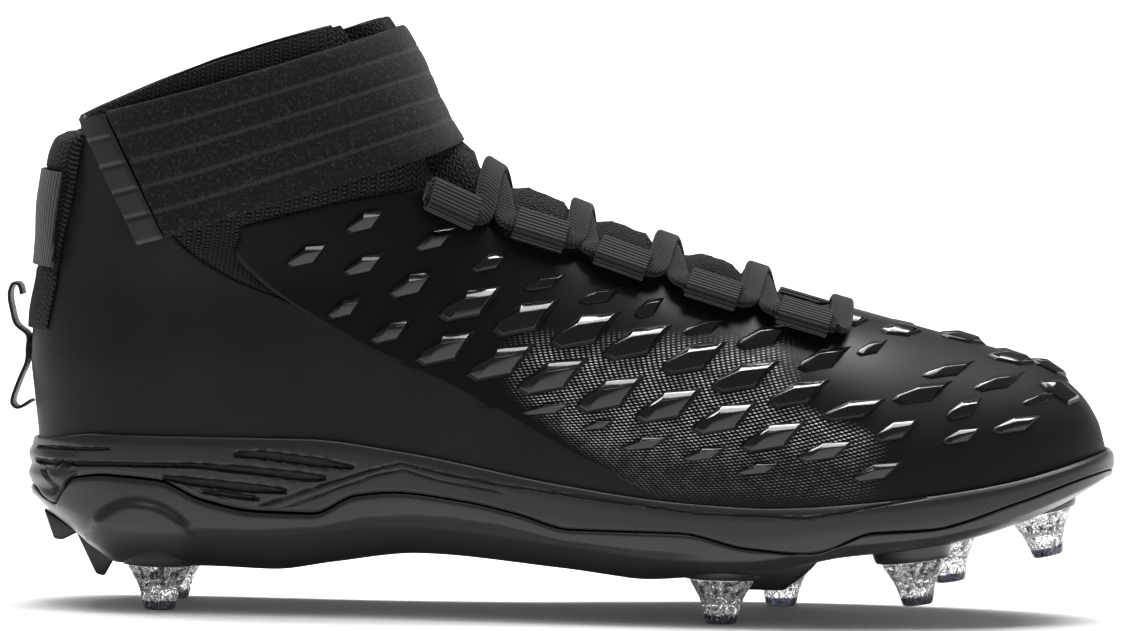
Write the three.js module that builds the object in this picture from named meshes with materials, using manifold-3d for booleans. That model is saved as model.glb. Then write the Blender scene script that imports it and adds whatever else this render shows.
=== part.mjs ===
// A right American football cleat with a mid-height knit collar, an ankle strap and seven screw-in studs.
// Millimetres. x runs from the heel to the toe, y to the inner side of the foot, z up from the floor.

import * as THREE from "three";
import { mergeVertices } from "three/addons/utils/BufferGeometryUtils.js";
import Module from "manifold-3d";

// Driving dimensions
const shoeLength = 300;
const bodyHeight = 154.7; // from the stud faces up to the collar's front edge
const ballWidth = 101;
const studHeight = 12.3;
const wall = 2.5; // knit bootie
const skin = 1.0; // moulded panels over the bootie
const clearance = 0.3; // between neighbouring pieces
const sliver = 0.04; // edges and dents smaller than this are merged after cuts
const insoleThickness = 3.5;
const tongueThickness = 3.2;
const tongueReach = 7; // under the throat's edge
const tongueTop = -1.4; // of its middle, against the panels' face
const plateThickness = 3.2;
const plateRim = 2.4; // wall of the plate where it wraps up the side
const strapThickness = 2.2;
const strapTabThickness = 3.0;
const strapLift = 0.7; // over the collar
const laceWidth = 5.6;
const laceThickness = 2.0;
const loopWidth = 14.5;
const loopDepth = 10.5;
const loopWebbing = 1.2;
const loopStandOff = 1.6; // from the shell to the flat underside of a loop
const laceExit = 3; // straight run of the lace out of each loop
const studTopRadius = 9.2;
const studTipRadius = 4.3;
const studCollarHeight = 3.6;
const pullTabHalfWidth = 15;
const pullTabDepth = 6.2;
const pullSleeveThickness = 0.9;
const ribbonWidth = 7;
const ribbonThickness = 0.9;
const facetHeight = 1.6;
const facetEdge = 0.3; // height of a facet's rim over the shell
const facetLength = 13.5;
const facetBreadth = 6.6;
const facetSink = 0.6;

// Heights above are counted from the plane of the stud faces.
const along = (share) => share * shoeLength;
const upTo = (share) => studHeight + share * bodyHeight;

// Side view: shares of shoeLength along x and of bodyHeight above the stud faces.
const FEATHER = [
  { x: 0, z: 0.218 },
  { x: 0.06, z: 0.237 },
  { x: 0.25, z: 0.237 },
  { x: 0.34, z: 0.218 },
  { x: 0.49, z: 0.166 },
  { x: 0.6, z: 0.14 },
  { x: 0.675, z: 0.134 },
  { x: 0.8, z: 0.152 },
  { x: 0.9, z: 0.18 },
  { x: 1, z: 0.23 },
];
const FOOTBED = [
  { x: 0, z: 0.135 },
  { x: 0.1, z: 0.115 },
  { x: 0.33, z: 0.1 },
  { x: 0.5, z: 0.075 },
  { x: 0.63, z: 0.058 },
  { x: 0.75, z: 0.076 },
  { x: 0.83, z: 0.096 },
  { x: 0.91, z: 0.135 },
  { x: 1, z: 0.208 },
];
const PLATE_BOTTOM = [
  { x: 0, z: 0.085 },
  { x: 0.03, z: 0.06 },
  { x: 0.055, z: 0.03 },
  { x: 0.08, z: 0.004 },
  { x: 0.16, z: 0.002 },
  { x: 0.22, z: 0.006 },
  { x: 0.28, z: 0.024 },
  { x: 0.36, z: 0.043 },
  { x: 0.49, z: 0.024 },
  { x: 0.6, z: 0.004 },
  { x: 0.66, z: 0.008 },
  { x: 0.75, z: 0.045 },
  { x: 0.83, z: 0.062 },
  { x: 0.91, z: 0.1 },
  { x: 1, z: 0.17 },
];
// The line on the sidewall where plate and midsole meet.
const PARTING = [
  { x: -0.02, z: 0.14 },
  { x: 0, z: 0.135 },
  { x: 0.022, z: 0.107 },
  { x: 0.04, z: 0.157 },
  { x: 0.073, z: 0.166 },
  { x: 0.117, z: 0.16 },
  { x: 0.157, z: 0.127 },
  { x: 0.207, z: 0.108 },
  { x: 0.26, z: 0.106 },
  { x: 0.3, z: 0.14 },
  { x: 0.337, z: 0.147 },
  { x: 0.4, z: 0.134 },
  { x: 0.45, z: 0.114 },
  { x: 0.5, z: 0.089 },
  { x: 0.6, z: 0.088 },
  { x: 0.663, z: 0.063 },
  { x: 0.72, z: 0.056 },
  { x: 0.777, z: 0.095 },
  { x: 0.83, z: 0.101 },
  { x: 0.91, z: 0.147 },
  { x: 0.987, z: 0.192 },
  { x: 1.02, z: 0.2 },
];
// Top line of the closed last: instep, throat and shin. Behind the collar it only shapes the width.
const RIDGE = [
  { x: 0, z: 2.1 },
  { x: 0.1, z: 1.72 },
  { x: 0.2, z: 1.34 },
  { x: 0.27, z: 1.12 },
  { x: 0.317, z: 1 },
  { x: 0.33, z: 0.962 },
  { x: 0.346, z: 0.91 },
  { x: 0.363, z: 0.838 },
  { x: 0.385, z: 0.767 },
  { x: 0.43, z: 0.7 },
  { x: 0.5, z: 0.643 },
  { x: 0.58, z: 0.588 },
  { x: 0.66, z: 0.538 },
  { x: 0.737, z: 0.494 },
  { x: 0.81, z: 0.456 },
  { x: 0.88, z: 0.42 },
  { x: 0.937, z: 0.386 },
  { x: 0.973, z: 0.336 },
  { x: 0.992, z: 0.283 },
  { x: 1, z: 0.231 },
];
// Back line of the heel.
const HEEL_BACK = [
  { z: 0, x: 0.006 },
  { z: 0.218, x: 0 },
  { z: 0.3, x: -0.005 },
  { z: 0.37, x: -0.0087 },
  { z: 0.44, x: -0.007 },
  { z: 0.51, x: 0.0005 },
  { z: 0.58, x: 0.01 },
  { z: 0.65, x: 0.0185 },
  { z: 0.74, x: 0.0267 },
  { z: 0.81, x: 0.034 },
];
// Rings of the upper, each a line in side view from the heel's back to the ridge.
const RINGS = [
  { heel: 0.218, front: 1 },
  { heel: 0.258, front: 0.991 },
  { heel: 0.305, front: 0.966 },
  { heel: 0.352, front: 0.905 },
  { heel: 0.395, front: 0.825 },
  { heel: 0.432, front: 0.745 },
  { heel: 0.478, front: 0.635 },
  { heel: 0.522, front: 0.515 },
  { heel: 0.565, front: 0.42 },
  { heel: 0.62, front: 0.372 },
  { heel: 0.685, front: 0.349 },
  { heel: 0.748, front: 0.332 },
  { heel: 0.805, front: 0.317 },
];
// Half width of the throat, as a share of ballWidth.
const THROAT = [
  { x: 0.3, half: 0.19 },
  { x: 0.4, half: 0.2 },
  { x: 0.55, half: 0.2 },
  { x: 0.65, half: 0.175 },
  { x: 0.74, half: 0.12 },
  { x: 1, half: 0.1 },
];
const THROAT_RING = 5; // the throat opens above this ring
const collarRise = 4.5; // how far the collar's top line bows up between heel and front
const COLLAR_RING = RINGS.length - 1;

// Plan view: half widths either side of the middle line, as shares of ballWidth, before heel and toe are rounded.
const PLAN = [
  { x: 0, lateral: 0.335, medial: 0.325, middle: 0 },
  { x: 0.15, lateral: 0.35, medial: 0.337, middle: 0 },
  { x: 0.3, lateral: 0.36, medial: 0.315, middle: 0 },
  { x: 0.43, lateral: 0.4, medial: 0.33, middle: 0.002 },
  { x: 0.55, lateral: 0.455, medial: 0.405, middle: 0.006 },
  { x: 0.68, lateral: 0.5, medial: 0.48, middle: 0.014 },
  { x: 0.78, lateral: 0.51, medial: 0.485, middle: 0.025 },
  { x: 0.88, lateral: 0.51, medial: 0.465, middle: 0.05 },
  { x: 1, lateral: 0.51, medial: 0.44, middle: 0.08 },
];
const heelRounding = { reach: 0.12, power: 2.2 };
const toeRounding = { reach: 0.31, power: 2.15 };
// How the sides close over the foot: width factor = (1 - h^rise)^(1 / turn), h from the feather line to the ridge.
const SECTION = [
  { x: 0, rise: 2, turn: 2 },
  { x: 0.35, rise: 2, turn: 1.9 },
  { x: 0.5, rise: 1.9, turn: 1.7 },
  { x: 0.75, rise: 2, turn: 1.85 },
  { x: 0.9, rise: 2.3, turn: 2.1 },
  { x: 1, rise: 2.4, turn: 2.2 },
];
// Width of heel and ankle against the feather line, by height.
const ANKLE_TAPER = [
  { z: 0.2, width: 1 },
  { z: 0.37, width: 0.98 },
  { z: 0.52, width: 0.9 },
  { z: 0.64, width: 0.93 },
  { z: 0.8, width: 1 },
  { z: 1, width: 1.06 },
];
const ankleFade = { from: 0.33, to: 0.55 };
const footbedTuck = 0.1; // share of the width lost from the feather line down to the footbed

// Sidewall of the sole from its underside to the feather line, as an outset from the upper in millimetres.
const SIDEWALL = [
  { level: 0, outset: -10 },
  { level: 0.05, outset: -5 },
  { level: 0.13, outset: -1.6 },
  { level: 0.26, outset: 0.6 },
  { level: 0.45, outset: 2 },
  { level: 0.6, outset: 2.4 },
  { level: 0.7, outset: 2.4, groove: 1.5 },
  { level: 0.78, outset: 2.4 },
  { level: 0.86, outset: 2.3, groove: 1.1 },
  { level: 0.93, outset: 2.2 },
  { level: 1, outset: 1.5 },
];
const grooveFade = { from: 0.16, to: 0.34 };

// Studs: where each tip stands, its height over the floor and its forward lean in degrees.
const STUDS = [
  { name: "stud_heel_lateral", x: 0.118, y: -0.21, lift: 0, lean: 0, seat: 15 },
  { name: "stud_heel_medial", x: 0.126, y: 0.2, lift: 0, lean: 0, seat: 14 },
  { name: "stud_ball_lateral", x: 0.64, y: -0.33, lift: 0, lean: 0, seat: 12 },
  { name: "stud_ball_medial", x: 0.7, y: 0.34, lift: 0, lean: 0, seat: 12 },
  { name: "stud_front_lateral", x: 0.823, y: -0.26, lift: 0.037, lean: 7.5, seat: 12 },
  { name: "stud_front_medial", x: 0.86, y: 0.3, lift: 0.052, lean: 9, seat: 12 },
  { name: "stud_toe", x: 0.948, y: 0.05, lift: 0.115, lean: 13, seat: 11 },
];
const seatDepth = 7;
// Moulded fins on the plate, in side view, with their place across the shoe and thickness.
const FINS = [
  { y: 0, thick: 9, outline: [[0.012, 0.09], [0.036, 0.05], [0.021, 0.047]] },
  { y: 0, thick: 10, outline: [[0.04, 0.06], [0.085, 0.03], [0.072, 0.01], [0.065, -0.018]] },
  { y: 0.02, thick: 8, outline: [[0.655, 0.03], [0.75, 0.06], [0.725, 0.005], [0.7, -0.034], [0.66, -0.034]] },
];

// Edge of the matte heel quarter and of the glossy shell, x against height.
const QUARTER_EDGE = [
  { z: 0.09, x: 0.64 },
  { z: 0.14, x: 0.6 },
  { z: 0.192, x: 0.543 },
  { z: 0.25, x: 0.487 },
  { z: 0.308, x: 0.43 },
  { z: 0.36, x: 0.373 },
  { z: 0.405, x: 0.317 },
  { z: 0.444, x: 0.27 },
  { z: 0.483, x: 0.233 },
  { z: 0.52, x: 0.183 },
  { z: 0.567, x: 0.143 },
  { z: 0.6, x: 0.125 },
  { z: 0.7, x: 0.11 },
  { z: 0.78, x: 0.1 },
];
const SHELL_EDGE = [
  { z: 0.09, x: 0.64 },
  { z: 0.483, x: 0.233 },
  { z: 0.53, x: 0.2 },
  { z: 0.57, x: 0.183 },
  { z: 0.6, x: 0.188 },
];
// Top edge of the shell from its rear corner to the throat.
const SHELL_TOP = [
  { x: 0.2, z: 0.622 },
  { x: 0.24, z: 0.643 },
  { x: 0.333, z: 0.688 },
  { x: 0.4, z: 0.72 },
  { x: 0.5, z: 0.76 },
];

// The strap in side view: rear and front ends of its lower and upper edges.
const STRAP_LOWER = { rearX: 0.095, rearZ: 0.58, frontZ: 0.762 };
const STRAP_UPPER = { rearX: 0.042, rearZ: 0.803, frontZ: 0.972 };
const strapTabLength = 7;
const strapEnd = 0.9; // share of the way back along the inner side

// Webbing loops beside the throat, in side view.
const LOOPS = [
  { x: 0.377, z: 0.655 },
  { x: 0.463, z: 0.601 },
  { x: 0.54, z: 0.552 },
  { x: 0.625, z: 0.498 },
  { x: 0.71, z: 0.452 },
];

// The heel's pull tab: height and share of its full depth.
const PULL_TAB = [
  { z: 0.42, depth: 0.16 },
  { z: 0.5, depth: 0.24 },
  { z: 0.57, depth: 0.55 },
  { z: 0.65, depth: 0.95 },
  { z: 0.72, depth: 1 },
  { z: 0.755, depth: 0.85 },
  { z: 0.772, depth: 0.35 },
];
const pullSleeve = { from: 0.53, to: 0.7 };
// The narrow ribbon on the heel: distance behind the heel's back line in millimetres, and height.
const RIBBON = [
  { out: 2.3, z: 0.478 },
  { out: 3.6, z: 0.495 },
  { out: 5.4, z: 0.497 },
  { out: 5.8, z: 0.478 },
  { out: 4.4, z: 0.45 },
  { out: 2.9, z: 0.424 },
  { out: 1.1, z: 0.405 },
  { out: 0.9, z: 0.38 },
  { out: 1.2, z: 0.355 },
  { out: 3.2, z: 0.322 },
  { out: 5.6, z: 0.288 },
  { out: 5.4, z: 0.276 },
  { out: 3.8, z: 0.273 },
  { out: 0.9, z: 0.286 },
];

// Raised facets of the shell on either side, in side view, with a size factor.
const FACET_ROWS = [
  { x: 0.368, z: 0.59, dx: 0.0525, dz: -0.036, count: 6, size: 0.66 },
  { x: 0.316, z: 0.54, dx: 0.054, dz: -0.037, count: 8, size: 1 },
  { x: 0.294, z: 0.455, dx: 0.0535, dz: -0.032, count: 8, size: 1 },
  { x: 0.56, z: 0.285, dx: 0.058, dz: -0.012, count: 6, size: 0.9 },
  { x: 0.73, z: 0.37, dx: 0.056, dz: -0.012, count: 4, size: 0.95 },
];
const facetRise = 0.5; // slope of a facet's long axis in side view

const wasm = await Module();
wasm.setup();

// A smooth curve through the rows of a table that never overshoots them.
function curve(rows, from, to) {
  const x = rows.map((row) => row[from]);
  const y = rows.map((row) => row[to]);
  const slope = x.slice(1).map((v, i) => (y[i + 1] - y[i]) / (v - x[i]));
  const tangent = x.map((_, i) => {
    if (i === 0) return slope[0];
    if (i === x.length - 1) return slope[i - 1];
    const [before, after] = [slope[i - 1], slope[i]];
    return before * after <= 0 ? 0 : (2 * before * after) / (before + after);
  });
  return (at) => {
    if (at <= x[0]) return y[0] + (at - x[0]) * tangent[0];
    const last = x.length - 1;
    if (at >= x[last]) return y[last] + (at - x[last]) * tangent[last];
    let i = 0;
    while (at > x[i + 1]) i += 1;
    const span = x[i + 1] - x[i];
    const u = (at - x[i]) / span;
    const start = y[i] * (1 + 2 * u) * (1 - u) ** 2 + tangent[i] * span * u * (1 - u) ** 2;
    const end = y[i + 1] * u * u * (3 - 2 * u) + tangent[i + 1] * span * u * u * (u - 1);
    return start + end;
  };
}

const clamp = THREE.MathUtils.clamp;
const lerp = THREE.MathUtils.lerp;
const smoothstep = THREE.MathUtils.smoothstep;
const rounded = (u, power) => (u >= 1 ? 1 : (1 - (1 - Math.max(u, 0)) ** power) ** (1 / power));

const sideLine = (rows) => {
  const shares = curve(rows, "x", "z");
  return (x) => upTo(shares(x / shoeLength));
};
const heightLine = (rows) => {
  const shares = curve(rows, "z", "x");
  return (z) => along(shares((z - studHeight) / bodyHeight));
};
const featherZ = sideLine(FEATHER);
const footbedZ = sideLine(FOOTBED);
const plateBottomZ = sideLine(PLATE_BOTTOM);
const partingZ = sideLine(PARTING);
const ridgeZ = sideLine(RIDGE);
const heelX = heightLine(HEEL_BACK);
const quarterX = heightLine(QUARTER_EDGE);
const shellX = heightLine(SHELL_EDGE);
const planHalf = { lateral: curve(PLAN, "x", "lateral"), medial: curve(PLAN, "x", "medial") };
const planMiddle = curve(PLAN, "x", "middle");
const sectionRise = curve(SECTION, "x", "rise");
const sectionTurn = curve(SECTION, "x", "turn");
const ankleWidth = curve(ANKLE_TAPER, "z", "width");

const middleY = (x) => planMiddle(x / shoeLength) * ballWidth;
const sideOf = (side) => (side < 0 ? planHalf.lateral : planHalf.medial);

// Half width of the plan at the feather line, with the heel's end at heelEnd.
function planWidth(x, side, heelEnd) {
  const share = x / shoeLength;
  const heel = rounded((x - heelEnd) / along(heelRounding.reach), heelRounding.power);
  const toe = rounded((shoeLength - x) / along(toeRounding.reach), toeRounding.power);
  return sideOf(side)(share) * ballWidth * heel * toe;
}

// Half width of the upper at a place of the side view.
function halfWidth(x, z, side) {
  const share = x / shoeLength;
  const feather = featherZ(x);
  const height = clamp((z - feather) / Math.max(ridgeZ(x) - feather, 1), 0, 1);
  const section = (1 - height ** sectionRise(share)) ** (1 / sectionTurn(share));
  const fade = smoothstep(share, ankleFade.from, ankleFade.to);
  const taper = lerp(ankleWidth((z - studHeight) / bodyHeight), 1, fade);
  const below = clamp((feather - z) / (feather - footbedZ(x)), 0, 1);
  return planWidth(x, side, heelX(z)) * section * taper * (1 - footbedTuck * below * below);
}

const ringHeel = curve(RINGS.map((row, i) => ({ ...row, i })), "i", "heel");
const ringFront = curve(RINGS.map((row, i) => ({ ...row, i })), "i", "front");
const throatHalf = curve(THROAT, "x", "half");
const ringSagFade = 6; // rings above this one are straight in side view

// A place on ring t in side view: s runs from the heel's back (0) to the ridge (1).
// Below ring 0 the rings run down to the footbed at t = -1.
function ringPlace(t, s) {
  const level = Math.max(t, 0);
  const heelZ = upTo(ringHeel(level));
  const frontX = along(ringFront(level));
  const x = lerp(heelX(heelZ), frontX, s);
  const straight = lerp(heelZ, ridgeZ(frontX), s);
  const chord = lerp(featherZ(0), featherZ(shoeLength), x / shoeLength);
  const sag = (featherZ(x) - chord) * clamp(1 - level / ringSagFade, 0, 1) ** 1.5;
  const bow = 4 * s * (1 - s) * collarRise * smoothstep(level, COLLAR_RING - 3, COLLAR_RING);
  const z = straight + sag * clamp(s * 12, 0, 1) + bow;
  return t < 0 ? { x, z: lerp(z, footbedZ(x), -t) } : { x, z };
}

const onSurface = ({ x, z }, side) => new THREE.Vector3(x, middleY(x) + side * halfWidth(x, z, side), z);
// Outward normal of the side at a place of the side view.
function sideNormal({ x, z }, side) {
  const reach = 0.5;
  const p = onSurface({ x, z }, side);
  const ahead = onSurface({ x: x + reach, z }, side).sub(p);
  const above = onSurface({ x, z: z + reach }, side).sub(p);
  return ahead.cross(above).multiplyScalar(-side).normalize();
}

// Height of the upper over a place in plan, the normal there, and a point above it.
function topZ(x, y) {
  const side = y < middleY(x) ? -1 : 1;
  const reach = Math.abs(y - middleY(x));
  const [low, high] = [featherZ(x), ridgeZ(x)];
  return lerp(low, high, solve((h) => halfWidth(x, lerp(low, high, h), side) > reach));
}
function topNormal(x, y) {
  const reach = 0.5;
  const slopeX = (topZ(x + reach, y) - topZ(x - reach, y)) / (2 * reach);
  const slopeY = (topZ(x, y + reach) - topZ(x, y - reach)) / (2 * reach);
  return new THREE.Vector3(-slopeX, -slopeY, 1).normalize();
}
const onRing = (t, s, side) => onSurface(ringPlace(t, s), side);

// Where a falling or rising function of s passes zero on ring t.
function solve(test) {
  let [low, high] = [0, 1];
  for (let step = 0; step < 40; step += 1) {
    const mid = (low + high) / 2;
    if (test(mid)) low = mid;
    else high = mid;
  }
  return low;
}

const throatPlace = (t, side) =>
  solve((s) => {
    const place = ringPlace(t, s);
    return s < 0.5 || halfWidth(place.x, place.z, side) > throatHalf(place.x / shoeLength) * ballWidth;
  });
const spread = (count, ease) =>
  Array.from({ length: count + 1 }, (_, i) => lerp(i / count, (1 - Math.cos((Math.PI * i) / count)) / 2, ease));
const steps = (from, to, count) => Array.from({ length: count + 1 }, (_, i) => lerp(from, to, i / count));

// Vertex normals of a grid of points, by differences along and across it.
function gridNormals(grid, loops) {
  const last = grid[0].length - 1;
  return grid.map((row, i) =>
    row.map((_, j) => {
      const up = grid[Math.min(i + 1, grid.length - 1)][j].clone().sub(grid[Math.max(i - 1, 0)][j]);
      const next = row[loops ? (j + 1) % row.length : Math.min(j + 1, last)];
      const before = row[loops ? (j + last) % row.length : Math.max(j - 1, 0)];
      return next.clone().sub(before).cross(up).normalize();
    }),
  );
}

function solidFrom(geometry) {
  const bare = geometry.index ? geometry.toNonIndexed() : geometry.clone();
  bare.deleteAttribute("normal");
  bare.deleteAttribute("uv");
  const merged = mergeVertices(bare, 1e-3);
  const triVerts = new Uint32Array(merged.index.array);
  return new wasm.Manifold(
    new wasm.Mesh({ numProp: 3, vertProperties: merged.attributes.position.array, triVerts }),
  );
}

// The largest body of a solid, without the crumbs that cuts leave.
function geometryFrom(solid) {
  const bodies = solid.simplify(sliver).decompose();
  const mesh = bodies.reduce((most, body) => (body.volume() > most.volume() ? body : most)).getMesh();
  const geometry = new THREE.BufferGeometry();
  geometry.setAttribute("position", new THREE.BufferAttribute(new Float32Array(mesh.vertProperties), 3));
  geometry.setIndex(new THREE.BufferAttribute(new Uint32Array(mesh.triVerts), 1));
  geometry.computeVertexNormals();
  return geometry;
}

function geometryOf(points, triangles) {
  const geometry = new THREE.BufferGeometry();
  geometry.setAttribute("position", new THREE.Float32BufferAttribute(points.flatMap((p) => p.toArray()), 3));
  geometry.setIndex(triangles.flat());
  return geometry;
}

// A closed wall over a grid of surface points. inner and outer give its faces as offsets along the normal.
// keeps(i, j) says which cells are there, so a mask cuts an opening with a rim of its own.
function gridWall(grid, { inner, outer, loops = false, keeps = () => true }) {
  const normals = gridNormals(grid, loops);
  const columns = grid[0].length;
  const layer = (offset) =>
    grid.flatMap((row, i) => row.map((p, j) => p.clone().addScaledVector(normals[i][j], offset(i, j))));
  const points = [...layer(outer), ...layer(inner)];
  const under = grid.length * columns;
  const triangles = [];
  const edges = new Map();
  const quad = (a, b, c, d) => triangles.push([a, b, c], [a, c, d]);
  for (let i = 0; i < grid.length - 1; i += 1) {
    for (let j = 0; j < (loops ? columns : columns - 1); j += 1) {
      if (!keeps(i, j)) continue;
      const next = (j + 1) % columns;
      const corners = [i * columns + j, i * columns + next, (i + 1) * columns + next, (i + 1) * columns + j];
      quad(...corners);
      const [a, b, c, d] = corners.map((corner) => corner + under);
      triangles.push([a, c, b], [a, d, c]);
      corners.forEach((from, k) => edges.set(`${from},${corners[(k + 1) % 4]}`, [from, corners[(k + 1) % 4]]));
    }
  }
  for (const [from, to] of edges.values())
    if (!edges.has(`${to},${from}`)) quad(from, from + under, to + under, to);
  return geometryOf(points, triangles);
}

// A closed body over rings of equal count, its ends closed by strips from side to side.
function ringBody(rings) {
  const count = rings[0].length;
  const triangles = [];
  for (let i = 0; i < rings.length - 1; i += 1) {
    for (let j = 0; j < count; j += 1) {
      const next = (j + 1) % count;
      const [a, b, c, d] = [i * count + j, i * count + next, (i + 1) * count + next, (i + 1) * count + j];
      triangles.push([a, b, c], [a, c, d]);
    }
  }
  const half = count / 2;
  const top = (rings.length - 1) * count;
  for (let j = 0; j < half; j += 1) {
    const mirror = (k) => (count - k) % count;
    const [a, b, c, d] = [j, j + 1, mirror(j + 1), mirror(j)];
    triangles.push([a, c, b], [a, d, c]);
    triangles.push([top + a, top + b, top + c], [top + a, top + c, top + d]);
  }
  return geometryOf(rings.flat(), triangles.filter(([a, b, c]) => a !== b && b !== c && a !== c));
}

// The upper's rings as closed loops, from the heel's back along the outer side to the ridge and home along the inner side.
const REAR_COLUMNS = 13;
const FRONT_COLUMNS = 2;
function ringLoop(t) {
  const side = (sign) => {
    const edge = throatPlace(t, sign);
    const rear = spread(REAR_COLUMNS, 0.55).map((u) => u * edge);
    const front = spread(FRONT_COLUMNS, 0).slice(1).map((u) => lerp(edge, 1, u));
    return [...rear, ...front].map((s) => onRing(t, s, sign));
  };
  return [...side(-1), ...side(1).slice(1, -1).reverse()];
}

const RING_LEVELS = [-0.98, -0.4, ...RINGS.map((_, i) => i)];
const inThroat = (i, j) =>
  RING_LEVELS[i] >= THROAT_RING && j >= REAR_COLUMNS && j < REAR_COLUMNS + 2 * FRONT_COLUMNS;
const upperOuter = -(skin + clearance);
const upperInner = upperOuter - wall;

function upperWall() {
  const grid = RING_LEVELS.map(ringLoop);
  const keeps = (i, j) => !inThroat(i, j);
  return solidFrom(gridWall(grid, { inner: () => upperInner, outer: () => upperOuter, loops: true, keeps }));
}

// The bootie: its wall under the panels, and knit flush with the panels wherever they leave it bare.
function upperSolid() {
  const bare = skinSlab(upperOuter - wall / 2, 0)
    .subtract(sideBlock(quarterOutline(clearance / 2)))
    .subtract(sideBlock(shellOutline(clearance / 2)));
  return upperWall().add(bare);
}

// The foot's place in the sole: the upper's outside, closed, up past the feather line.
function footCavity() {
  const levels = [-1, -0.4, 0, 1];
  const grid = levels.map(ringLoop);
  const normals = gridNormals(grid, true);
  const grown = grid.map((row, i) => row.map((p, j) => p.clone().addScaledVector(normals[i][j], clearance)));
  return solidFrom(ringBody(grown));
}

// Outline of the sole at a level between its underside (0) and the feather line (1), with an outset.
function soleRing(level, outset, floor) {
  const half = 18;
  const flat = (s, side) => {
    const x = s * shoeLength;
    return new THREE.Vector2(x, middleY(x) + side * planWidth(x, side, 0));
  };
  const stations = spread(half, 0.8);
  const loop = [
    ...stations.map((s) => flat(s, -1)),
    ...stations.slice(1, -1).reverse().map((s) => flat(s, 1)),
  ];
  return loop.map((p, j) => {
    const next = loop[(j + 1) % loop.length];
    const before = loop[(j + loop.length - 1) % loop.length];
    const normal = new THREE.Vector2(next.y - before.y, before.x - next.x).normalize();
    const out = typeof outset === "function" ? outset(p.x / shoeLength) : outset;
    const x = p.x + normal.x * out;
    const inside = clamp(x, 0, shoeLength);
    return new THREE.Vector3(x, p.y + normal.y * out, lerp(floor(inside), featherZ(inside), level));
  });
}

function soleEnvelope() {
  const rings = SIDEWALL.map(({ level, outset, groove = 0 }) => {
    const faded = (share) => outset - groove * (1 - smoothstep(share, grooveFade.from, grooveFade.to));
    return soleRing(level, faded, plateBottomZ);
  });
  return solidFrom(ringBody(rings));
}

// The tray inside the plate, which the midsole fills.
function trayBody(shrink) {
  const floor = (x) => plateBottomZ(x) + plateThickness + shrink;
  const levels = [
    { level: 0, outset: -10 },
    { level: 0.2, outset: -2 },
    { level: 0.5, outset: 0 },
    { level: 0.98, outset: 0 },
  ];
  return solidFrom(ringBody(levels.map((row) => soleRing(row.level, row.outset - plateRim - shrink, floor))));
}

// Everything under the parting line, across the whole shoe.
function underParting(raise) {
  const shape = new THREE.Shape();
  const first = PARTING[0].x;
  const last = PARTING[PARTING.length - 1].x;
  shape.moveTo(along(first), -bodyHeight);
  shape.lineTo(along(last), -bodyHeight);
  steps(last, first, 50).forEach((share) => shape.lineTo(along(share), partingZ(along(share)) + raise));
  const block = new THREE.ExtrudeGeometry(shape, { depth: ballWidth * 2, bevelEnabled: false });
  block.translate(0, 0, -ballWidth).rotateX(Math.PI / 2);
  return solidFrom(block);
}

const studPlace = ({ x, y, lift }) => new THREE.Vector3(along(x), y * ballWidth, lift * bodyHeight);

// A turned body at a stud's place, its profile given as radius and height over the stud's tip.
function turnedAt(stud, profile) {
  const points = profile.map(([radius, height]) => new THREE.Vector2(radius, height));
  const turned = new THREE.LatheGeometry(points, 12).rotateX(Math.PI / 2);
  turned.rotateY(THREE.MathUtils.degToRad(-stud.lean));
  const at = studPlace(stud);
  return solidFrom(turned.translate(at.x, at.y, at.z));
}

// The cone under the plate that a stud screws into, and the room for the stud below it.
const seatFace = studHeight + clearance;
const studSeat = (stud) =>
  turnedAt(stud, [
    [0, seatFace],
    [studTopRadius + 1.3, seatFace],
    [stud.seat, studHeight + seatDepth],
    [0, studHeight + seatDepth],
  ]);
const studRoom = (stud) =>
  turnedAt(stud, [[0, 0], [studTopRadius + 1.3, 0], [studTopRadius + 1.3, seatFace], [0, seatFace]]);

function moundedFin({ y, thick, outline }) {
  const shape = new THREE.Shape(outline.map(([x, z]) => new THREE.Vector2(along(x), upTo(z))));
  const fin = new THREE.ExtrudeGeometry(shape, { depth: thick, bevelEnabled: false });
  fin.rotateX(Math.PI / 2).translate(0, y * ballWidth + thick / 2, 0);
  return solidFrom(fin);
}

function soleSolids() {
  const envelope = soleEnvelope();
  const cavity = footCavity();
  const rim = envelope.intersect(underParting(0)).subtract(trayBody(0));
  const headroom = trayBody(-0.05);
  const seats = STUDS.map(studSeat).map((seat) => seat.subtract(headroom));
  const fins = FINS.map(moundedFin).map((fin) => fin.subtract(headroom));
  const moulded = [...seats, ...fins].reduce((whole, piece) => whole.add(piece), rim);
  const plate = STUDS.map(studRoom).reduce((whole, room) => whole.subtract(room), moulded);
  const above = envelope.subtract(underParting(clearance));
  const fill = trayBody(clearance).intersect(envelope);
  return { plate: plate.subtract(cavity), midsole: above.add(fill).subtract(cavity) };
}

// The sockliner: the footbed inside the upper's wall.
function insoleSolid() {
  const margin = wall + skin + clearance * 6;
  const rings = [clearance, insoleThickness].map((rise) => {
    const level = footbedLevel(rise);
    return ringLoop(level).map((p) => p);
  });
  const shrunk = rings.map((ring, i) => {
    const rise = i === 0 ? clearance : insoleThickness;
    return ring.map((p, j) => {
      const next = ring[(j + 1) % ring.length];
      const before = ring[(j + ring.length - 1) % ring.length];
      const normal = new THREE.Vector2(next.y - before.y, before.x - next.x).normalize();
      const x = p.x - normal.x * margin;
      return new THREE.Vector3(x, p.y - normal.y * margin, footbedZ(clamp(x, 0, shoeLength)) + rise);
    });
  });
  return ringBody(shrunk);
}
const footbedLevel = (rise) => -1 + rise / (featherZ(along(0.5)) - footbedZ(along(0.5)));

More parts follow.
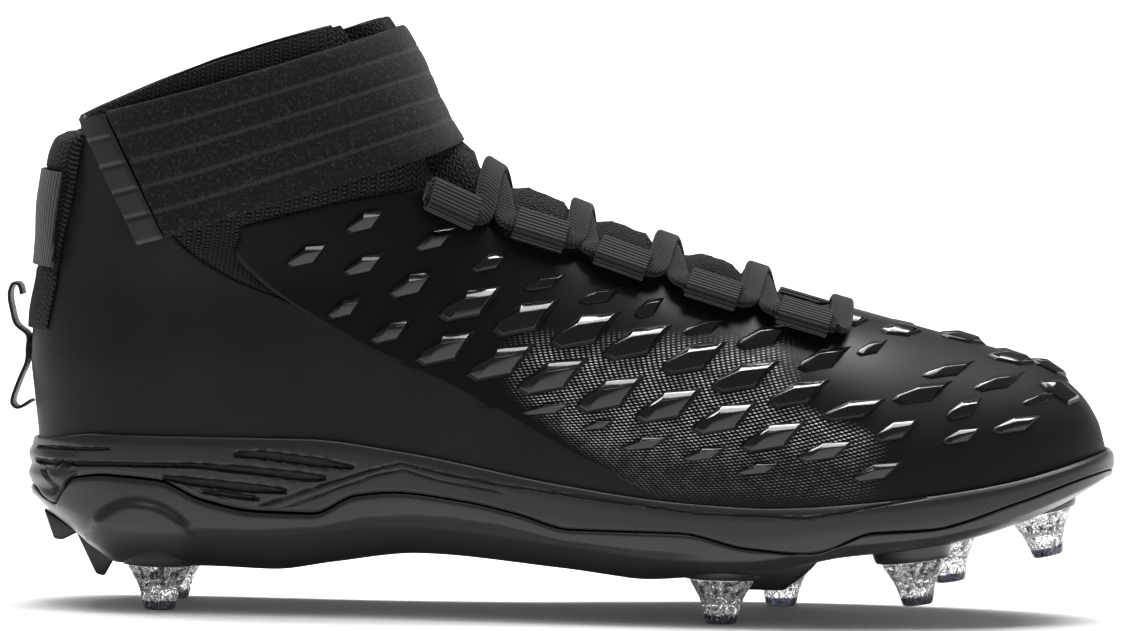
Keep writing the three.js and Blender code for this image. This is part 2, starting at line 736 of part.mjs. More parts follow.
// The tongue lies under the throat's edges and swells up between them. Each row of its table is a ring,
// each column a share of the way from the throat's edge to the ridge.
const TONGUE_ROWS = [4.3, 5.03, 6, 7, 8, 9, 10, 11, 11.85];
const TONGUE_COLUMNS = [0.03, 0.3, 0.55, 0.8, 1];
function tongueSolid() {
  const low = upperInner - 3 * clearance;
  const grid = TONGUE_ROWS.map((t) => {
    const side = (sign) => {
      const edge = throatPlace(t, sign);
      const reach = tongueReach / (along(ringFront(t)) - heelX(upTo(ringHeel(t))));
      const inside = TONGUE_COLUMNS.map((share) => lerp(edge, 1, share));
      return [edge - reach, ...inside].map((s) => onRing(t, s, sign));
    };
    return [...side(-1), ...side(1).slice(0, -1).reverse()];
  });
  const centre = TONGUE_COLUMNS.length;
  const swell = (j) => smoothstep(centre - Math.abs(j - centre), 1, 3);
  const open = (i) => smoothstep(TONGUE_ROWS[i], THROAT_RING + 0.1, THROAT_RING + 1);
  const outer = (i, j) => lerp(low, tongueTop, swell(j) * open(i));
  return gridWall(grid, { outer, inner: (i, j) => outer(i, j) - tongueThickness });
}

// The skin of panels over the bootie, on the upper's own grid, from inner to outer along the normal.
function skinSlab(inner, outer) {
  const grid = RING_LEVELS.map(ringLoop);
  const keeps = (i, j) => i > 0 && !inThroat(i, j);
  return solidFrom(gridWall(grid, { outer: () => outer, inner: () => inner, loops: true, keeps }));
}

// A block across the whole shoe over an outline in side view.
function sideBlock(outline) {
  const block = new THREE.ExtrudeGeometry(new THREE.Shape(outline), { depth: ballWidth * 2, bevelEnabled: false });
  block.rotateX(Math.PI / 2).translate(0, ballWidth, 0);
  return solidFrom(block);
}

// Side outline of the matte quarter, grown by a margin.
function quarterOutline(grow) {
  const top = upTo(QUARTER_EDGE[QUARTER_EDGE.length - 1].z) + grow;
  const edge = steps(0, top, 26).map((z) => new THREE.Vector2(quarterX(z) + grow, z));
  const rear = -along(0.2);
  return [new THREE.Vector2(rear, 0), ...edge, new THREE.Vector2(rear, top)];
}

// Side outline of the glossy shell, grown by a margin: from its rear edge along its top edge to the toe.
function shellOutline(grow) {
  const corner = SHELL_EDGE[SHELL_EDGE.length - 1];
  const edge = steps(0, upTo(corner.z), 24).map((z) => new THREE.Vector2(shellX(z) - grow, z));
  const top = SHELL_TOP.map(({ x, z }) => new THREE.Vector2(along(x), upTo(z) + grow));
  const toe = along(1.1);
  return [...edge, ...top, new THREE.Vector2(toe, top[top.length - 1].y), new THREE.Vector2(toe, 0)];
}

const quarterSolid = () => skinSlab(-skin, 0).intersect(sideBlock(quarterOutline(-clearance / 2)));

// One raised facet: a lozenge with a ridge along it, following the surface, its base sunk into the shell.
function facetBody({ x, z, size }, side) {
  const at = (long, short, height) => {
    const u = (long * facetLength * size) / 2;
    const v = (short * facetBreadth * size) / 2;
    const run = 1 / Math.hypot(1, facetRise);
    const spot = { x: x + (u - v * facetRise) * run, z: z + (u * facetRise + v) * run };
    return onSurface(spot, side).addScaledVector(sideNormal(spot, side), height);
  };
  const outline = [[-1, -0.1], [0.1, -1], [1, 0.1], [-0.1, 1]];
  const points = [
    ...outline.map(([u, v]) => at(u, v, -facetSink)),
    ...outline.map(([u, v]) => at(u, v, facetEdge)),
    at(-0.4, 0, facetHeight * size),
    at(0.4, 0, facetHeight * size),
  ];
  const crown = [[4, 5, 8], [5, 9, 8], [5, 6, 9], [6, 7, 9], [7, 8, 9], [7, 4, 8]];
  const sides = [0, 1, 2, 3].flatMap((k) => [[k, (k + 1) % 4, ((k + 1) % 4) + 4], [k, ((k + 1) % 4) + 4, k + 4]]);
  const triangles = [...crown, ...sides, [0, 2, 1], [0, 3, 2]];
  const facing = side < 0 ? triangles : triangles.map(([a, b, c]) => [a, c, b]);
  return solidFrom(geometryOf(points, facing));
}

function facetPlaces() {
  const places = FACET_ROWS.flatMap((row) =>
    Array.from({ length: row.count }, (_, i) => ({
      x: along(row.x + row.dx * i),
      z: upTo(row.z + row.dz * i),
      size: row.size,
    })),
  );
  const margin = 5;
  const offLoops = ({ x, z }) => LOOPS.every((loop) => Math.hypot(x - along(loop.x), z - upTo(loop.z)) > loopDepth);
  return places.filter((spot) => {
    const { x, z } = spot;
    const width = halfWidth(x, z, -1);
    return offLoops(spot) && x > shellX(z) + margin && width > throatHalf(x / shoeLength) * ballWidth + margin;
  });
}

function shellSolid() {
  const shell = skinSlab(-skin, 0).intersect(sideBlock(shellOutline(-clearance / 2)));
  const facets = [-1, 1].flatMap((side) => facetPlaces().map((place) => facetBody(place, side)));
  const raised = facets.reduce((whole, facet) => whole.add(facet)).intersect(skinSlab(-skin, facetHeight * 2));
  return shell.add(raised).subtract(sideBlock(quarterOutline(clearance / 2)));
}

// x of the ridge at a height.
function ridgeX(z) {
  return along(solve((share) => ridgeZ(along(share)) > z));
}

// The ankle strap lies on the collar from its grip tab on the outer side, round the front, to the inner side.
// turn runs from -1 at the rear outer end over 0 at the front to 1 at the rear inner end.
function strapGrid(from, to, count) {
  const turns = steps(from, to, count);
  return steps(0, 1, 5).map((across) => {
    const mix = (key) => lerp(STRAP_LOWER[key], STRAP_UPPER[key], across);
    const [rearX, rearZ, frontZ] = [along(mix("rearX")), upTo(mix("rearZ")), upTo(mix("frontZ"))];
    return turns.map((turn) => {
      const share = (1 - Math.cos(Math.PI * (1 - Math.abs(turn)))) / 2;
      const z = lerp(rearZ, frontZ, share);
      const x = Math.min(lerp(rearX, ridgeX(frontZ), share), ridgeX(z));
      return onSurface({ x, z }, turn < 0 ? -1 : 1);
    });
  });
}
const strapLength = ridgeX(upTo(STRAP_LOWER.frontZ)) - along(STRAP_LOWER.rearX);
const strapTurn = (length) => Math.acos(1 - (2 * length) / strapLength) / Math.PI - 1;

function strapSolid() {
  const grid = strapGrid(strapTurn(strapTabLength + clearance), strapEnd, 26);
  return gridWall(grid, { outer: () => strapLift + strapThickness, inner: () => strapLift });
}

function strapTabSolid() {
  const grid = strapGrid(-1, strapTurn(strapTabLength), 3);
  return gridWall(grid, { outer: () => strapLift + strapTabThickness, inner: () => strapLift });
}

// A loop's frame beside the throat: its middle on the shell, out of it, forward along the throat, and down the side.
function loopFrame(k, side) {
  const spot = (i) => ({ x: along(LOOPS[i].x), z: upTo(LOOPS[i].z) });
  const origin = onSurface(spot(k), side);
  const out = sideNormal(spot(k), side);
  const ahead = onSurface(spot(Math.min(k + 1, LOOPS.length - 1)), side);
  const forward = ahead.sub(onSurface(spot(Math.max(k - 1, 0)), side));
  forward.addScaledVector(out, -forward.dot(out)).normalize();
  const down = new THREE.Vector3().crossVectors(forward, out).multiplyScalar(-side).normalize();
  return { centre: origin.addScaledVector(out, loopStandOff + loopHeight / 2), forward, down, out };
}
const loopHeight = laceThickness + 2 * (loopWebbing + clearance);

// A flat tube of webbing that the lace runs through.
function loopGeometry(k, side) {
  const { centre, down, out } = loopFrame(k, side);
  const stadium = (halfLength, halfHeight) => {
    const cap = (from, to, x) =>
      steps(from, to, 4).map((angle) => {
        const a = THREE.MathUtils.degToRad(angle);
        return new THREE.Vector2(x + Math.cos(a) * halfHeight, Math.sin(a) * halfHeight);
      });
    const reach = halfLength - halfHeight;
    return [...cap(-90, 90, reach), ...cap(90, 270, -reach)];
  };
  const shape = new THREE.Shape(stadium(loopDepth / 2, loopHeight / 2));
  shape.holes.push(new THREE.Path(stadium(loopDepth / 2 - loopWebbing, loopHeight / 2 - loopWebbing)));
  const band = new THREE.ExtrudeGeometry(shape, { depth: loopWidth, bevelEnabled: false });
  band.translate(0, 0, -loopWidth / 2);
  const frame = new THREE.Matrix4().makeBasis(down, out, new THREE.Vector3().crossVectors(down, out));
  return band.applyMatrix4(frame.setPosition(centre));
}

// A flat lace swept through points, with its broad side square to the given normals.
function sweepLace({ points, normals }) {
  const section = [[-0.5, -0.5], [0.5, -0.5], [0.5, 0.5], [-0.5, 0.5]];
  const corners = section.length;
  const rings = points.map((p, i) => {
    const ahead = points[Math.min(i + 1, points.length - 1)];
    const behind = points[Math.max(i - 1, 0)];
    const tangent = ahead.clone().sub(behind).normalize();
    const across = new THREE.Vector3().crossVectors(normals[i], tangent).normalize();
    const up = new THREE.Vector3().crossVectors(tangent, across).normalize();
    return section.map(([u, v]) =>
      p.clone().addScaledVector(across, u * laceWidth).addScaledVector(up, v * laceThickness),
    );
  });
  const triangles = [];
  for (let i = 0; i < rings.length - 1; i += 1) {
    for (let k = 0; k < corners; k += 1) {
      const next = (k + 1) % corners;
      const [a, b, c, d] = [i * corners + k, i * corners + next, (i + 1) * corners + next, (i + 1) * corners + k];
      triangles.push([a, b, c], [a, c, d]);
    }
  }
  const last = (rings.length - 1) * corners;
  for (let k = 1; k < corners - 1; k += 1) triangles.push([0, k + 1, k], [last, last + k, last + k + 1]);
  return solidFrom(geometryOf(rings.flat(), triangles));
}

// The lace: straight through each loop, then over the tongue to the next loop on the other side.
function laceEnd(k, side, sign, overlap = 0) {
  const { centre, forward, out } = loopFrame(k, side);
  const reach = sign * (loopWidth / 2 + laceExit + overlap);
  return { point: centre.addScaledVector(forward, reach), leave: forward.multiplyScalar(sign), out };
}

function laceAcross(from, to, lift) {
  const count = 7;
  const path = new THREE.CubicBezierCurve3(
    from.point,
    from.point.clone().addScaledVector(from.leave, 4),
    to.point.clone().addScaledVector(to.leave, 4),
    to.point,
  );
  const heightOver = ({ x, y, z }) => (z - topZ(x, y)) * topNormal(x, y).z;
  const ends = [heightOver(from.point), heightOver(to.point)];
  const points = [];
  const normals = [];
  path.getPoints(count).forEach((straight, i) => {
    const { x, y } = straight;
    const middle = Math.sin((Math.PI * i) / count);
    const over = lerp(lerp(ends[0], ends[1], i / count), lift, middle);
    const laid = new THREE.Vector3(x, y, topZ(x, y) + over / topNormal(x, y).z);
    points.push(laid.lerp(straight, (1 - middle) ** 2));
    normals.push(i === 0 ? from.out : i === count ? to.out : topNormal(x, y));
  });
  return { points, normals };
}

// One of the two strands: it starts at the top loop of a side and changes side after every loop.
function laceStrand(firstSide) {
  const under = laceThickness / 2 + clearance;
  const over = under + laceThickness * 0.75;
  const last = LOOPS.length - 1;
  const points = [];
  const normals = [];
  const add = (more) => {
    points.push(...more.points);
    normals.push(...more.normals);
  };
  const addEnd = ({ point, out }) => add({ points: [point], normals: [out] });
  LOOPS.forEach((_, k) => {
    const side = k % 2 === 0 ? firstSide : -firstSide;
    if (k === 0) addEnd(laceEnd(k, side, -1));
    addEnd(laceEnd(k, side, -1, -laceExit));
    addEnd(laceEnd(k, side, 1, -laceExit));
    if (k === last) return addEnd(laceEnd(k, side, 1, 0.5));
    const lift = (k % 2 === 0) === firstSide < 0 ? over : under;
    return add(laceAcross(laceEnd(k, side, 1), laceEnd(k + 1, -side, -1), lift));
  });
  return sweepLace({ points, normals });
}

function laceSolid() {
  const last = LOOPS.length - 1;
  const bar = laceAcross(laceEnd(last, -1, 1), laceEnd(last, 1, 1), laceThickness / 2 + clearance);
  return laceStrand(-1).add(laceStrand(1)).add(sweepLace(bar));
}

// The pull tab on the heel and the woven sleeve round it.
const tabDepth = curve(PULL_TAB, "z", "depth");
function heelPatch(from, to, rows, halfReach, offsets) {
  const grid = steps(from, to, rows).map((share) => {
    const z = upTo(share);
    return steps(-1, 1, 8).map((v) => {
      const y = v * halfReach;
      const side = v < 0 ? -1 : 1;
      const s = solve((u) => halfWidth(heelX(z) + u * along(0.1), z, side) < Math.abs(y));
      return new THREE.Vector3(heelX(z) + s * along(0.1), y, z);
    });
  });
  grid.forEach((row) => row.reverse());
  return gridWall(grid, offsets(grid, (i) => lerp(from, to, i / rows)));
}
const tabRounding = (j) => 1 - 0.35 * Math.abs(j / 4 - 1) ** 3;

function pullTabSolid() {
  const first = PULL_TAB[0].z;
  const last = PULL_TAB[PULL_TAB.length - 1].z;
  return heelPatch(first, last, 10, pullTabHalfWidth, (grid, share) => ({
    outer: (i, j) => clearance + tabDepth(share(i)) * pullTabDepth * tabRounding(j),
    inner: () => clearance,
  }));
}

function pullSleeveSolid() {
  return heelPatch(pullSleeve.from, pullSleeve.to, 6, pullTabHalfWidth - 1, (grid, share) => {
    const inner = (i, j) => 2.6 * clearance + tabDepth(share(i)) * pullTabDepth * tabRounding(j);
    return { inner, outer: (i, j) => inner(i, j) + pullSleeveThickness };
  });
}

function ribbonSolid() {
  const points = RIBBON.map(({ out, z }) => {
    const height = upTo(z);
    const cover = Math.max(0, tabDepth(z) * pullTabDepth * (z > PULL_TAB[0].z ? 1 : 0));
    return new THREE.Vector3(heelX(height) - out - cover - ribbonThickness / 2, 0, height);
  });
  const path = new THREE.CatmullRomCurve3(points).getPoints(26);
  const outer = [];
  const inner = [];
  path.forEach((p, i) => {
    const tangent = path[Math.min(i + 1, path.length - 1)].clone().sub(path[Math.max(i - 1, 0)]).normalize();
    const normal = new THREE.Vector2(-tangent.z, tangent.x).multiplyScalar(ribbonThickness / 2);
    outer.push(new THREE.Vector2(p.x + normal.x, p.z + normal.y));
    inner.push(new THREE.Vector2(p.x - normal.x, p.z - normal.y));
  });
  const shape = new THREE.Shape([...outer, ...inner.reverse()]);
  const ribbon = new THREE.ExtrudeGeometry(shape, { depth: ribbonWidth, bevelEnabled: false });
  return ribbon.rotateX(Math.PI / 2).translate(0, ribbonWidth / 2, 0);
}

// A screw-in stud, its tip at the origin and its face at studHeight.
function studGeometry() {
  const profile = [
    new THREE.Vector2(0, 0),
    new THREE.Vector2(studTipRadius, 0),
    new THREE.Vector2(lerp(studTopRadius, studTipRadius, 0.45) - 0.4, studHeight - studCollarHeight),
    new THREE.Vector2(studTopRadius - 0.7, studHeight - studCollarHeight),
    new THREE.Vector2(studTopRadius, studHeight),
    new THREE.Vector2(0, studHeight),
  ];
  return new THREE.LatheGeometry(profile, 15).rotateX(Math.PI / 2);
}

// Materials
const finish = (color, roughness, metalness = 0) => new THREE.MeshStandardMaterial({ color, roughness, metalness });
const knit = finish(0x17171a, 0.95);
const gloss = finish(0x101012, 0.18);
const matte = finish(0x1b1b1d, 0.6);
const foam = finish(0x2c2b2c, 0.7);
const hardPlate = finish(0x343334, 0.4);
const webbing = finish(0x1e1e20, 0.9);
const grip = finish(0x242427, 0.45);
const clear = finish(0xc9ccce, 0.12);
const lining = finish(0x1a1a1c, 0.9);

const cleat = new THREE.Group();
const place = (name, geometry, material) => {
  const mesh = new THREE.Mesh(geometry, material);
  mesh.name = name;
  cleat.add(mesh);
  return mesh;
};

const sole = soleSolids();
place("outsole_plate", geometryFrom(sole.plate), hardPlate);
place("midsole", geometryFrom(sole.midsole), foam);
place("insole", insoleSolid(), lining);
place("upper", geometryFrom(upperSolid()), knit);
place("tongue", tongueSolid(), knit);
place("heel_quarter", geometryFrom(quarterSolid()), matte);
place("faceted_shell", geometryFrom(shellSolid()), gloss);
place("ankle_strap", strapSolid(), webbing);
place("strap_grip_tab", strapTabSolid(), grip);
place("pull_tab", pullTabSolid(), knit);
place("pull_tab_sleeve", pullSleeveSolid(), webbing);
place("heel_ribbon", ribbonSolid(), webbing);
LOOPS.forEach((_, k) => {
  place(`lace_loop_lateral_${k + 1}`, loopGeometry(k, -1), webbing);
  place(`lace_loop_medial_${k + 1}`, loopGeometry(k, 1), webbing);
});
place("lace", geometryFrom(laceSolid()), webbing);
STUDS.forEach((stud) => {
  const mesh = place(stud.name, studGeometry(), clear);
  mesh.position.copy(studPlace(stud));
  mesh.rotation.y = THREE.MathUtils.degToRad(-stud.lean);
});

// The origin is on the floor under the middle of the shoe.
const box = new THREE.Box3().setFromObject(cleat);
const middle = box.getCenter(new THREE.Vector3());
cleat.position.set(-middle.x, -middle.y, -box.min.z);

export default cleat;
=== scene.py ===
"""Looks of a right American football cleat: knit collar, ankle strap, faceted glossy vamp and clear studs.

Shapes are worked out in millimetres in the shoe's own frame (x from the heel, y to the inner side, z up from the
floor) and then placed in the row frame in metres.
"""

import math

import bmesh
import bpy
import numpy as np
from bpy.props import FloatProperty, FloatVectorProperty, PointerProperty
from mathutils import Matrix, Vector


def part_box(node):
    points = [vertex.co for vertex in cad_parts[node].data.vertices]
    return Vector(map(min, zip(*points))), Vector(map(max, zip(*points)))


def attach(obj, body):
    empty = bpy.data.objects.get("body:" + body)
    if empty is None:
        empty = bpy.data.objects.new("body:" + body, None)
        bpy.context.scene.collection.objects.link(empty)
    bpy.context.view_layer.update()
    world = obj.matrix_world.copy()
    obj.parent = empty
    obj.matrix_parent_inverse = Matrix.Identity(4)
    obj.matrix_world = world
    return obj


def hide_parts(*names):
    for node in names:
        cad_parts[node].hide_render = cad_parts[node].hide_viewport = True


bl_info = {
    "name": "Football cleat",
    "version": (1, 0, 0),
    "blender": (4, 5, 0),
    "location": "View3D > Sidebar > Cleat",
    "description": "Builds the looks of an American football cleat on its packed frame",
    "category": "Add Mesh",
}

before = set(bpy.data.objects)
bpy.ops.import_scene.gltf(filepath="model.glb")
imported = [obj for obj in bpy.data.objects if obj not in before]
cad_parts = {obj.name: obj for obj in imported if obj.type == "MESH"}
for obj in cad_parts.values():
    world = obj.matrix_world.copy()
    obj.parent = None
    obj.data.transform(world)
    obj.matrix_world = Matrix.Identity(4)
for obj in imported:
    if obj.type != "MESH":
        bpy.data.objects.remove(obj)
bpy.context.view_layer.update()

# Sizes in millimetres, as the frame has them.
LENGTH = 300.0
BODY = 154.7
BALL = 101.0
STUD_HEIGHT = 12.3
WALL = 2.5
SKIN = 1.0
GAP = 0.3
STRAP_LIFT = 0.7
STRAP_THICK = 2.2
GRIP_THICK = 3.0
LOOP_WIDTH = 14.5
LOOP_DEPTH = 10.5
LOOP_STAND_OFF = 1.6
LOOP_HEIGHT = 5.0
LACE_EXIT = 1.4
STUD_TOP = 9.2
SEAT_DEPTH = 7.0
PLATE_THICK = 3.2
TAB_HALF_WIDTH = 15.0
TAB_DEPTH = 6.2
THROAT_RING = 5
COLLAR_RING = 12
COLLAR_RISE = 2.7
FACET_SINK = .7
TONGUE_THICK = 3.2
RIBBON_WIDTH = 7.0
RIBBON_THICK = .9
RIBBON_TURN = math.radians(7)
TAB_COLUMNS = 41
INSOLE_SHRINK = .92
STRAP_RIBS = 5

# The photo's camera: picture width in pixels, millimetres in a pixel, aim in the shoe's own frame, tilt and roll
# in degrees, and the sensor's width in millimetres.
PHOTO_PIXELS = 1123
PHOTO_PIXEL = .27933
PHOTO_AIM = (146.03, -15, 83.9)
PHOTO_ELEVATION = 3
PHOTO_ROLL = 1.115
SENSOR = 36

# Lines of the side view: x as a share of LENGTH, height over the stud faces as a share of BODY.
FEATHER = [(0, .218), (.06, .237), (.25, .237), (.34, .218), (.49, .166), (.6, .14), (.675, .134), (.8, .152),
           (.9, .18), (1, .23)]
FOOTBED = [(0, .135), (.1, .115), (.33, .1), (.5, .075), (.63, .058), (.75, .076), (.83, .096), (.91, .135),
           (1, .208)]
PLATE_BOTTOM = [(0, .085), (.03, .06), (.055, .03), (.08, .004), (.16, .002), (.22, .006), (.28, .024),
                (.36, .043), (.49, .024), (.6, .004), (.66, .008), (.75, .045), (.83, .062), (.91, .1), (1, .17)]
PARTING = [(-.02, .14), (0, .135), (.022, .107), (.04, .157), (.073, .166), (.117, .16), (.157, .127),
           (.207, .108), (.26, .106), (.3, .14), (.337, .147), (.4, .134), (.45, .114), (.5, .089), (.6, .088),
           (.663, .063), (.72, .056), (.777, .095), (.83, .101), (.91, .147), (.987, .192), (1.02, .2)]
RIDGE = [(0, 2.1), (.1, 1.72), (.2, 1.34), (.27, 1.12), (.317, 1), (.33, .962), (.346, .91), (.363, .838),
         (.385, .767), (.43, .7), (.5, .643), (.58, .588), (.66, .538), (.737, .494), (.81, .456), (.88, .42),
         (.937, .386), (.973, .336), (.992, .283), (1, .231)]
# The heel's back: height, and x as a share of LENGTH.
HEEL_BACK = [(0, .006), (.218, 0), (.3, -.005), (.37, -.0087), (.44, -.007), (.51, .0005), (.58, .01),
             (.65, .0185), (.74, .0267), (.81, .034)]
# Rings of the upper from the sole up: height at the heel's back, and x on the ridge.
RINGS = [(.218, 1), (.258, .991), (.305, .966), (.352, .905), (.395, .825), (.432, .745), (.478, .635),
         (.522, .515), (.565, .42), (.62, .372), (.685, .349), (.748, .332), (.805, .317)]
# Along x, as shares of BALL: the throat's half width; then the plan's outer and inner half width and its middle.
THROAT = [(.3, .19), (.4, .2), (.55, .2), (.65, .175), (.74, .12), (1, .1)]
PLAN = [(0, .335, .325, 0), (.15, .35, .337, 0), (.3, .36, .315, 0), (.43, .4, .33, .002),
        (.55, .455, .405, .006), (.68, .5, .48, .014), (.78, .51, .485, .025), (.88, .51, .465, .05),
        (1, .51, .44, .08)]
# Along x: the two powers that round the upper's cross section.
SECTION = [(0, 2, 2), (.35, 2, 1.9), (.5, 1.9, 1.7), (.75, 2, 1.85), (.9, 2.3, 2.1), (1, 2.4, 2.2)]
# By height: how far the ankle draws the upper's width in.
ANKLE = [(.2, 1), (.37, .98), (.52, .9), (.64, .93), (.8, 1), (1, 1.06)]
# The sole's sidewall: level from the plate's underside to the feather line, and outset in millimetres.
SIDEWALL = [(0, -10), (.03, -7), (.07, -4.2), (.225, .9), (.27, 1.8), (.36, 2.1), (.6, 2.4), (.8, 2.35),
            (.93, 2.1), (1, 1.5)]
# Edges of the panels in side view: height, and x as a share of LENGTH; the shell's top the other way round.
QUARTER_EDGE = [(.09, .64), (.14, .6), (.192, .543), (.25, .487), (.308, .43), (.36, .373), (.405, .317),
                (.444, .27), (.483, .233), (.52, .183), (.567, .143), (.6, .125), (.7, .11), (.78, .1)]
SHELL_EDGE = [(.09, .64), (.483, .233), (.53, .2), (.57, .183), (.6, .188)]
SHELL_TOP = [(.2, .622), (.24, .643), (.333, .688), (.4, .72), (.5, .76)]
# The strap's edges: x and height at its rear end, and height on the ridge. Its grip's length and its inner end.
STRAP_LOWER = (.095, .58, .762)
STRAP_UPPER = (.042, .803, .972)
STRAP_TAB = 7.0
STRAP_END = .9
# Middles of the lace loops in side view.
LOOPS = [(.377, .655), (.463, .601), (.54, .552), (.625, .498), (.71, .452)]
# By height: thickness of the pull tab, as a share of TAB_DEPTH. The sleeve's lower and upper end.
PULL_TAB = [(.42, .16), (.5, .24), (.57, .55), (.65, .95), (.72, 1), (.755, .85), (.772, .35)]
SLEEVE = (.53, .7)
# The heel ribbon's path: millimetres behind the heel, and height.
RIBBON = [(2.3, .478), (3.6, .495), (5.4, .497), (5.8, .478), (4.4, .45), (2.9, .424), (1.1, .405), (.9, .38),
          (1.2, .355), (3.2, .322), (5.6, .288), (5.4, .276), (3.8, .273), (.9, .286)]
# Studs: name, x, y as a share of BALL, lift, lean in degrees and radius of the plate's seat in millimetres.
STUDS = [("stud_heel_lateral", .118, -.21, 0, 0, 15), ("stud_heel_medial", .126, .2, 0, 0, 14),
         ("stud_ball_lateral", .64, -.33, 0, 0, 12), ("stud_ball_medial", .7, .34, 0, 0, 12),
         ("stud_front_lateral", .823, -.26, .037, 7.5, 12), ("stud_front_medial", .86, .3, .052, 9, 12),
         ("stud_toe", .948, .05, .115, 13, 11)]
# The plate's fins: y as a share of BALL, thickness in millimetres and corners in side view.
FINS = [(0, 9, [(.006, .09), (.04, .05), (.024, .034), (.016, .036)]),
        (0, 10, [(.034, .06), (.085, .03), (.073, .002), (.064, -.03), (.056, -.026)]),
        (.02, 8, [(.655, .03), (.75, .06), (.725, .005), (.7, -.034), (.66, -.034)])]
# The rings between which the tongue lies.
TONGUE_ROWS = (4.3, 11.85)

# Raised facets of the shell in side view: middle x and z, length and height, in millimetres.
FACETS = [
    (75.2, 100.0, 12.0, 7.3), (91.2, 109.8, 11.2, 7.3), (91.1, 97.8, 11.7, 7.0), (104.4, 92.4, 12.8, 8.1),
    (86.1, 85.7, 10.1, 6.7), (99.0, 79.5, 11.7, 7.5), (110.5, 104.8, 11.2, 6.7), (126.0, 98.7, 10.6, 5.6),
    (141.2, 93.4, 11.7, 4.7), (156.9, 90.1, 12.3, 4.7), (170.4, 87.0, 8.4, 5.6), (185.9, 82.0, 12.3, 4.2),
    (120.7, 87.2, 17.9, 10.1), (136.1, 83.6, 18.7, 10.6), (152.6, 80.5, 19.6, 10.6), (167.2, 77.5, 19.3, 10.1),
    (183.0, 73.6, 18.4, 9.2), (197.3, 68.8, 19.0, 8.9), (212.2, 64.6, 17.3, 7.8), (114.2, 75.0, 16.8, 10.1),
    (129.6, 71.4, 19.0, 10.6), (144.0, 67.8, 20.1, 10.6), (160.0, 63.3, 19.0, 10.6), (176.2, 60.6, 18.7, 10.1),
    (191.9, 57.5, 18.4, 9.5), (205.4, 52.8, 18.4, 8.9), (142.7, 59.1, 14.8, 3.9), (157.0, 55.2, 8.9, 3.4),
    (170.0, 50.4, 14.0, 4.5), (186.5, 47.9, 12.8, 4.5), (201.5, 44.2, 12.8, 4.0), (202.7, 79.6, 16.3, 7.0),
    (219.2, 73.9, 15.2, 6.7), (232.7, 76.9, 8.9, 4.2), (227.4, 60.5, 17.9, 6.1), (239.2, 55.0, 12.3, 6.2),
    (254.2, 71.2, 15.1, 4.5), (246.8, 65.3, 16.8, 6.1), (268.6, 68.0, 14.8, 5.0), (258.3, 60.9, 10.1, 5.7),
    (273.2, 56.6, 14.5, 5.0), (219.8, 49.2, 16.2, 6.1), (257.6, 53.6, 10.6, 4.6), (280.0, 63.5, 10.2, 3.6),
    (234.1, 43.8, 14.0, 5.7),
]
# Facets over the toe in plan view: x, distance from the middle line, length and width.
TOP_FACETS = [(226.5, 16.5, 11, 8), (241.0, 14.5, 12, 9), (272.5, 12.5, 14, 9.5), (286.0, 17.5, 12, 11),
              (259.0, 5.5, 13, 8), (283.5, 5.5, 11, 7)]
# One facet in its own side view, in millimetres: outline, ridge and size. Its roof's faces count the outline's
# points from 0 to 5 and the ridge's as 6 and 7.
FACET_OUTLINE = [(-9.5, -3.6), (-6.8, -5.3), (2.9, -3.2), (9.3, 5.5), (-1.1, 4.3), (-8.6, -1.6)]
FACET_RIDGE = [(-1.8, .7), (6.0, 2.0)]
FACET_SIZE = (18.8, 10.8)
FACET_RIM = (.35, 1.05)
FACET_FACES = [(0, 1, 6), (1, 2, 7, 6), (2, 3, 7), (3, 4, 6, 7), (4, 5, 6), (5, 0, 6)]

# Grooves and slots in the sole's side, side view in millimetres: rows of x, z and half width, and the depth.
GROOVES = [
    ([(.6, 44.3, .45), (8.1, 44.7, .45), (20.3, 45.4, .35)], 1.1),
    ([(.7, 40.5, .7), (6.8, 40.6, .5), (22, 41.2, .5), (45, 41.4, .6), (61, 40.3, .9), (74.6, 39, 1.1),
      (80.7, 38.6, .6)], 1.6),
    ([(56.8, 44.7, .6), (64, 44.6, 1.1), (80.1, 42.8, 1.15), (88.4, 41.8, .5)], 1.7),
    ([(36.7, 37.9, .5), (44.2, 36.9, 1), (60.8, 35.4, 1.1), (70, 34.9, .6)], 1.7),
    ([(48.1, 34.1, .4), (55.3, 33.5, .75), (62.5, 32.5, .4)], 1.3),
    ([(63.1, 30.5, .3), (74.7, 34.7, .3), (84, 37.8, .3), (92.3, 40.6, .3), (101.9, 43.3, .3), (113.3, 40.8, .3),
      (129.9, 38, .3), (168.7, 33.5, .3), (185.4, 31.6, .3), (215.3, 31.1, .3), (259.9, 39.2, .3),
      (291.5, 47.2, .25)], .55),
    ([(70, 30.2, .2), (84.1, 35.6, .25), (94.5, 39.6, .25), (103, 41.5, .25), (113.3, 38.6, .25),
      (130, 36, .25)], .4),
    ([(2.4, 38, .5), (7.2, 32.4, .5), (11.2, 37.8, .4)], .7),
]
# Arch of the outer heel stud's housing in side view: middle x and z, reach behind, ahead and up.
HOUSING = (29, 13, 15.5, 19.0, 18.5)
# Upper edge of the plate's turned-under band in side view; the band, facing down, gets painted shade.
BAND_EDGE = [(40, 24.4), (47.2, 24), (63.1, 23.9), (79, 25), (92.1, 28.1), (105.3, 29.2), (115.9, 28.8),
             (130.1, 27.1), (146.8, 23.3), (169, 21.2), (182.8, 20.6)]


def length_field(label, description, millimetres):
    return FloatProperty(name=label, description=description, default=millimetres * .001, min=0.0, precision=5,
                         unit="LENGTH", subtype="DISTANCE")


def power_field(label, description, watts):
    return FloatProperty(name=label, description=description, default=watts, min=0.0, unit="POWER")


def share_field(label, description, amount):
    return FloatProperty(name=label, description=description, default=amount, min=0.0, soft_max=1.0,
                         subtype="FACTOR")


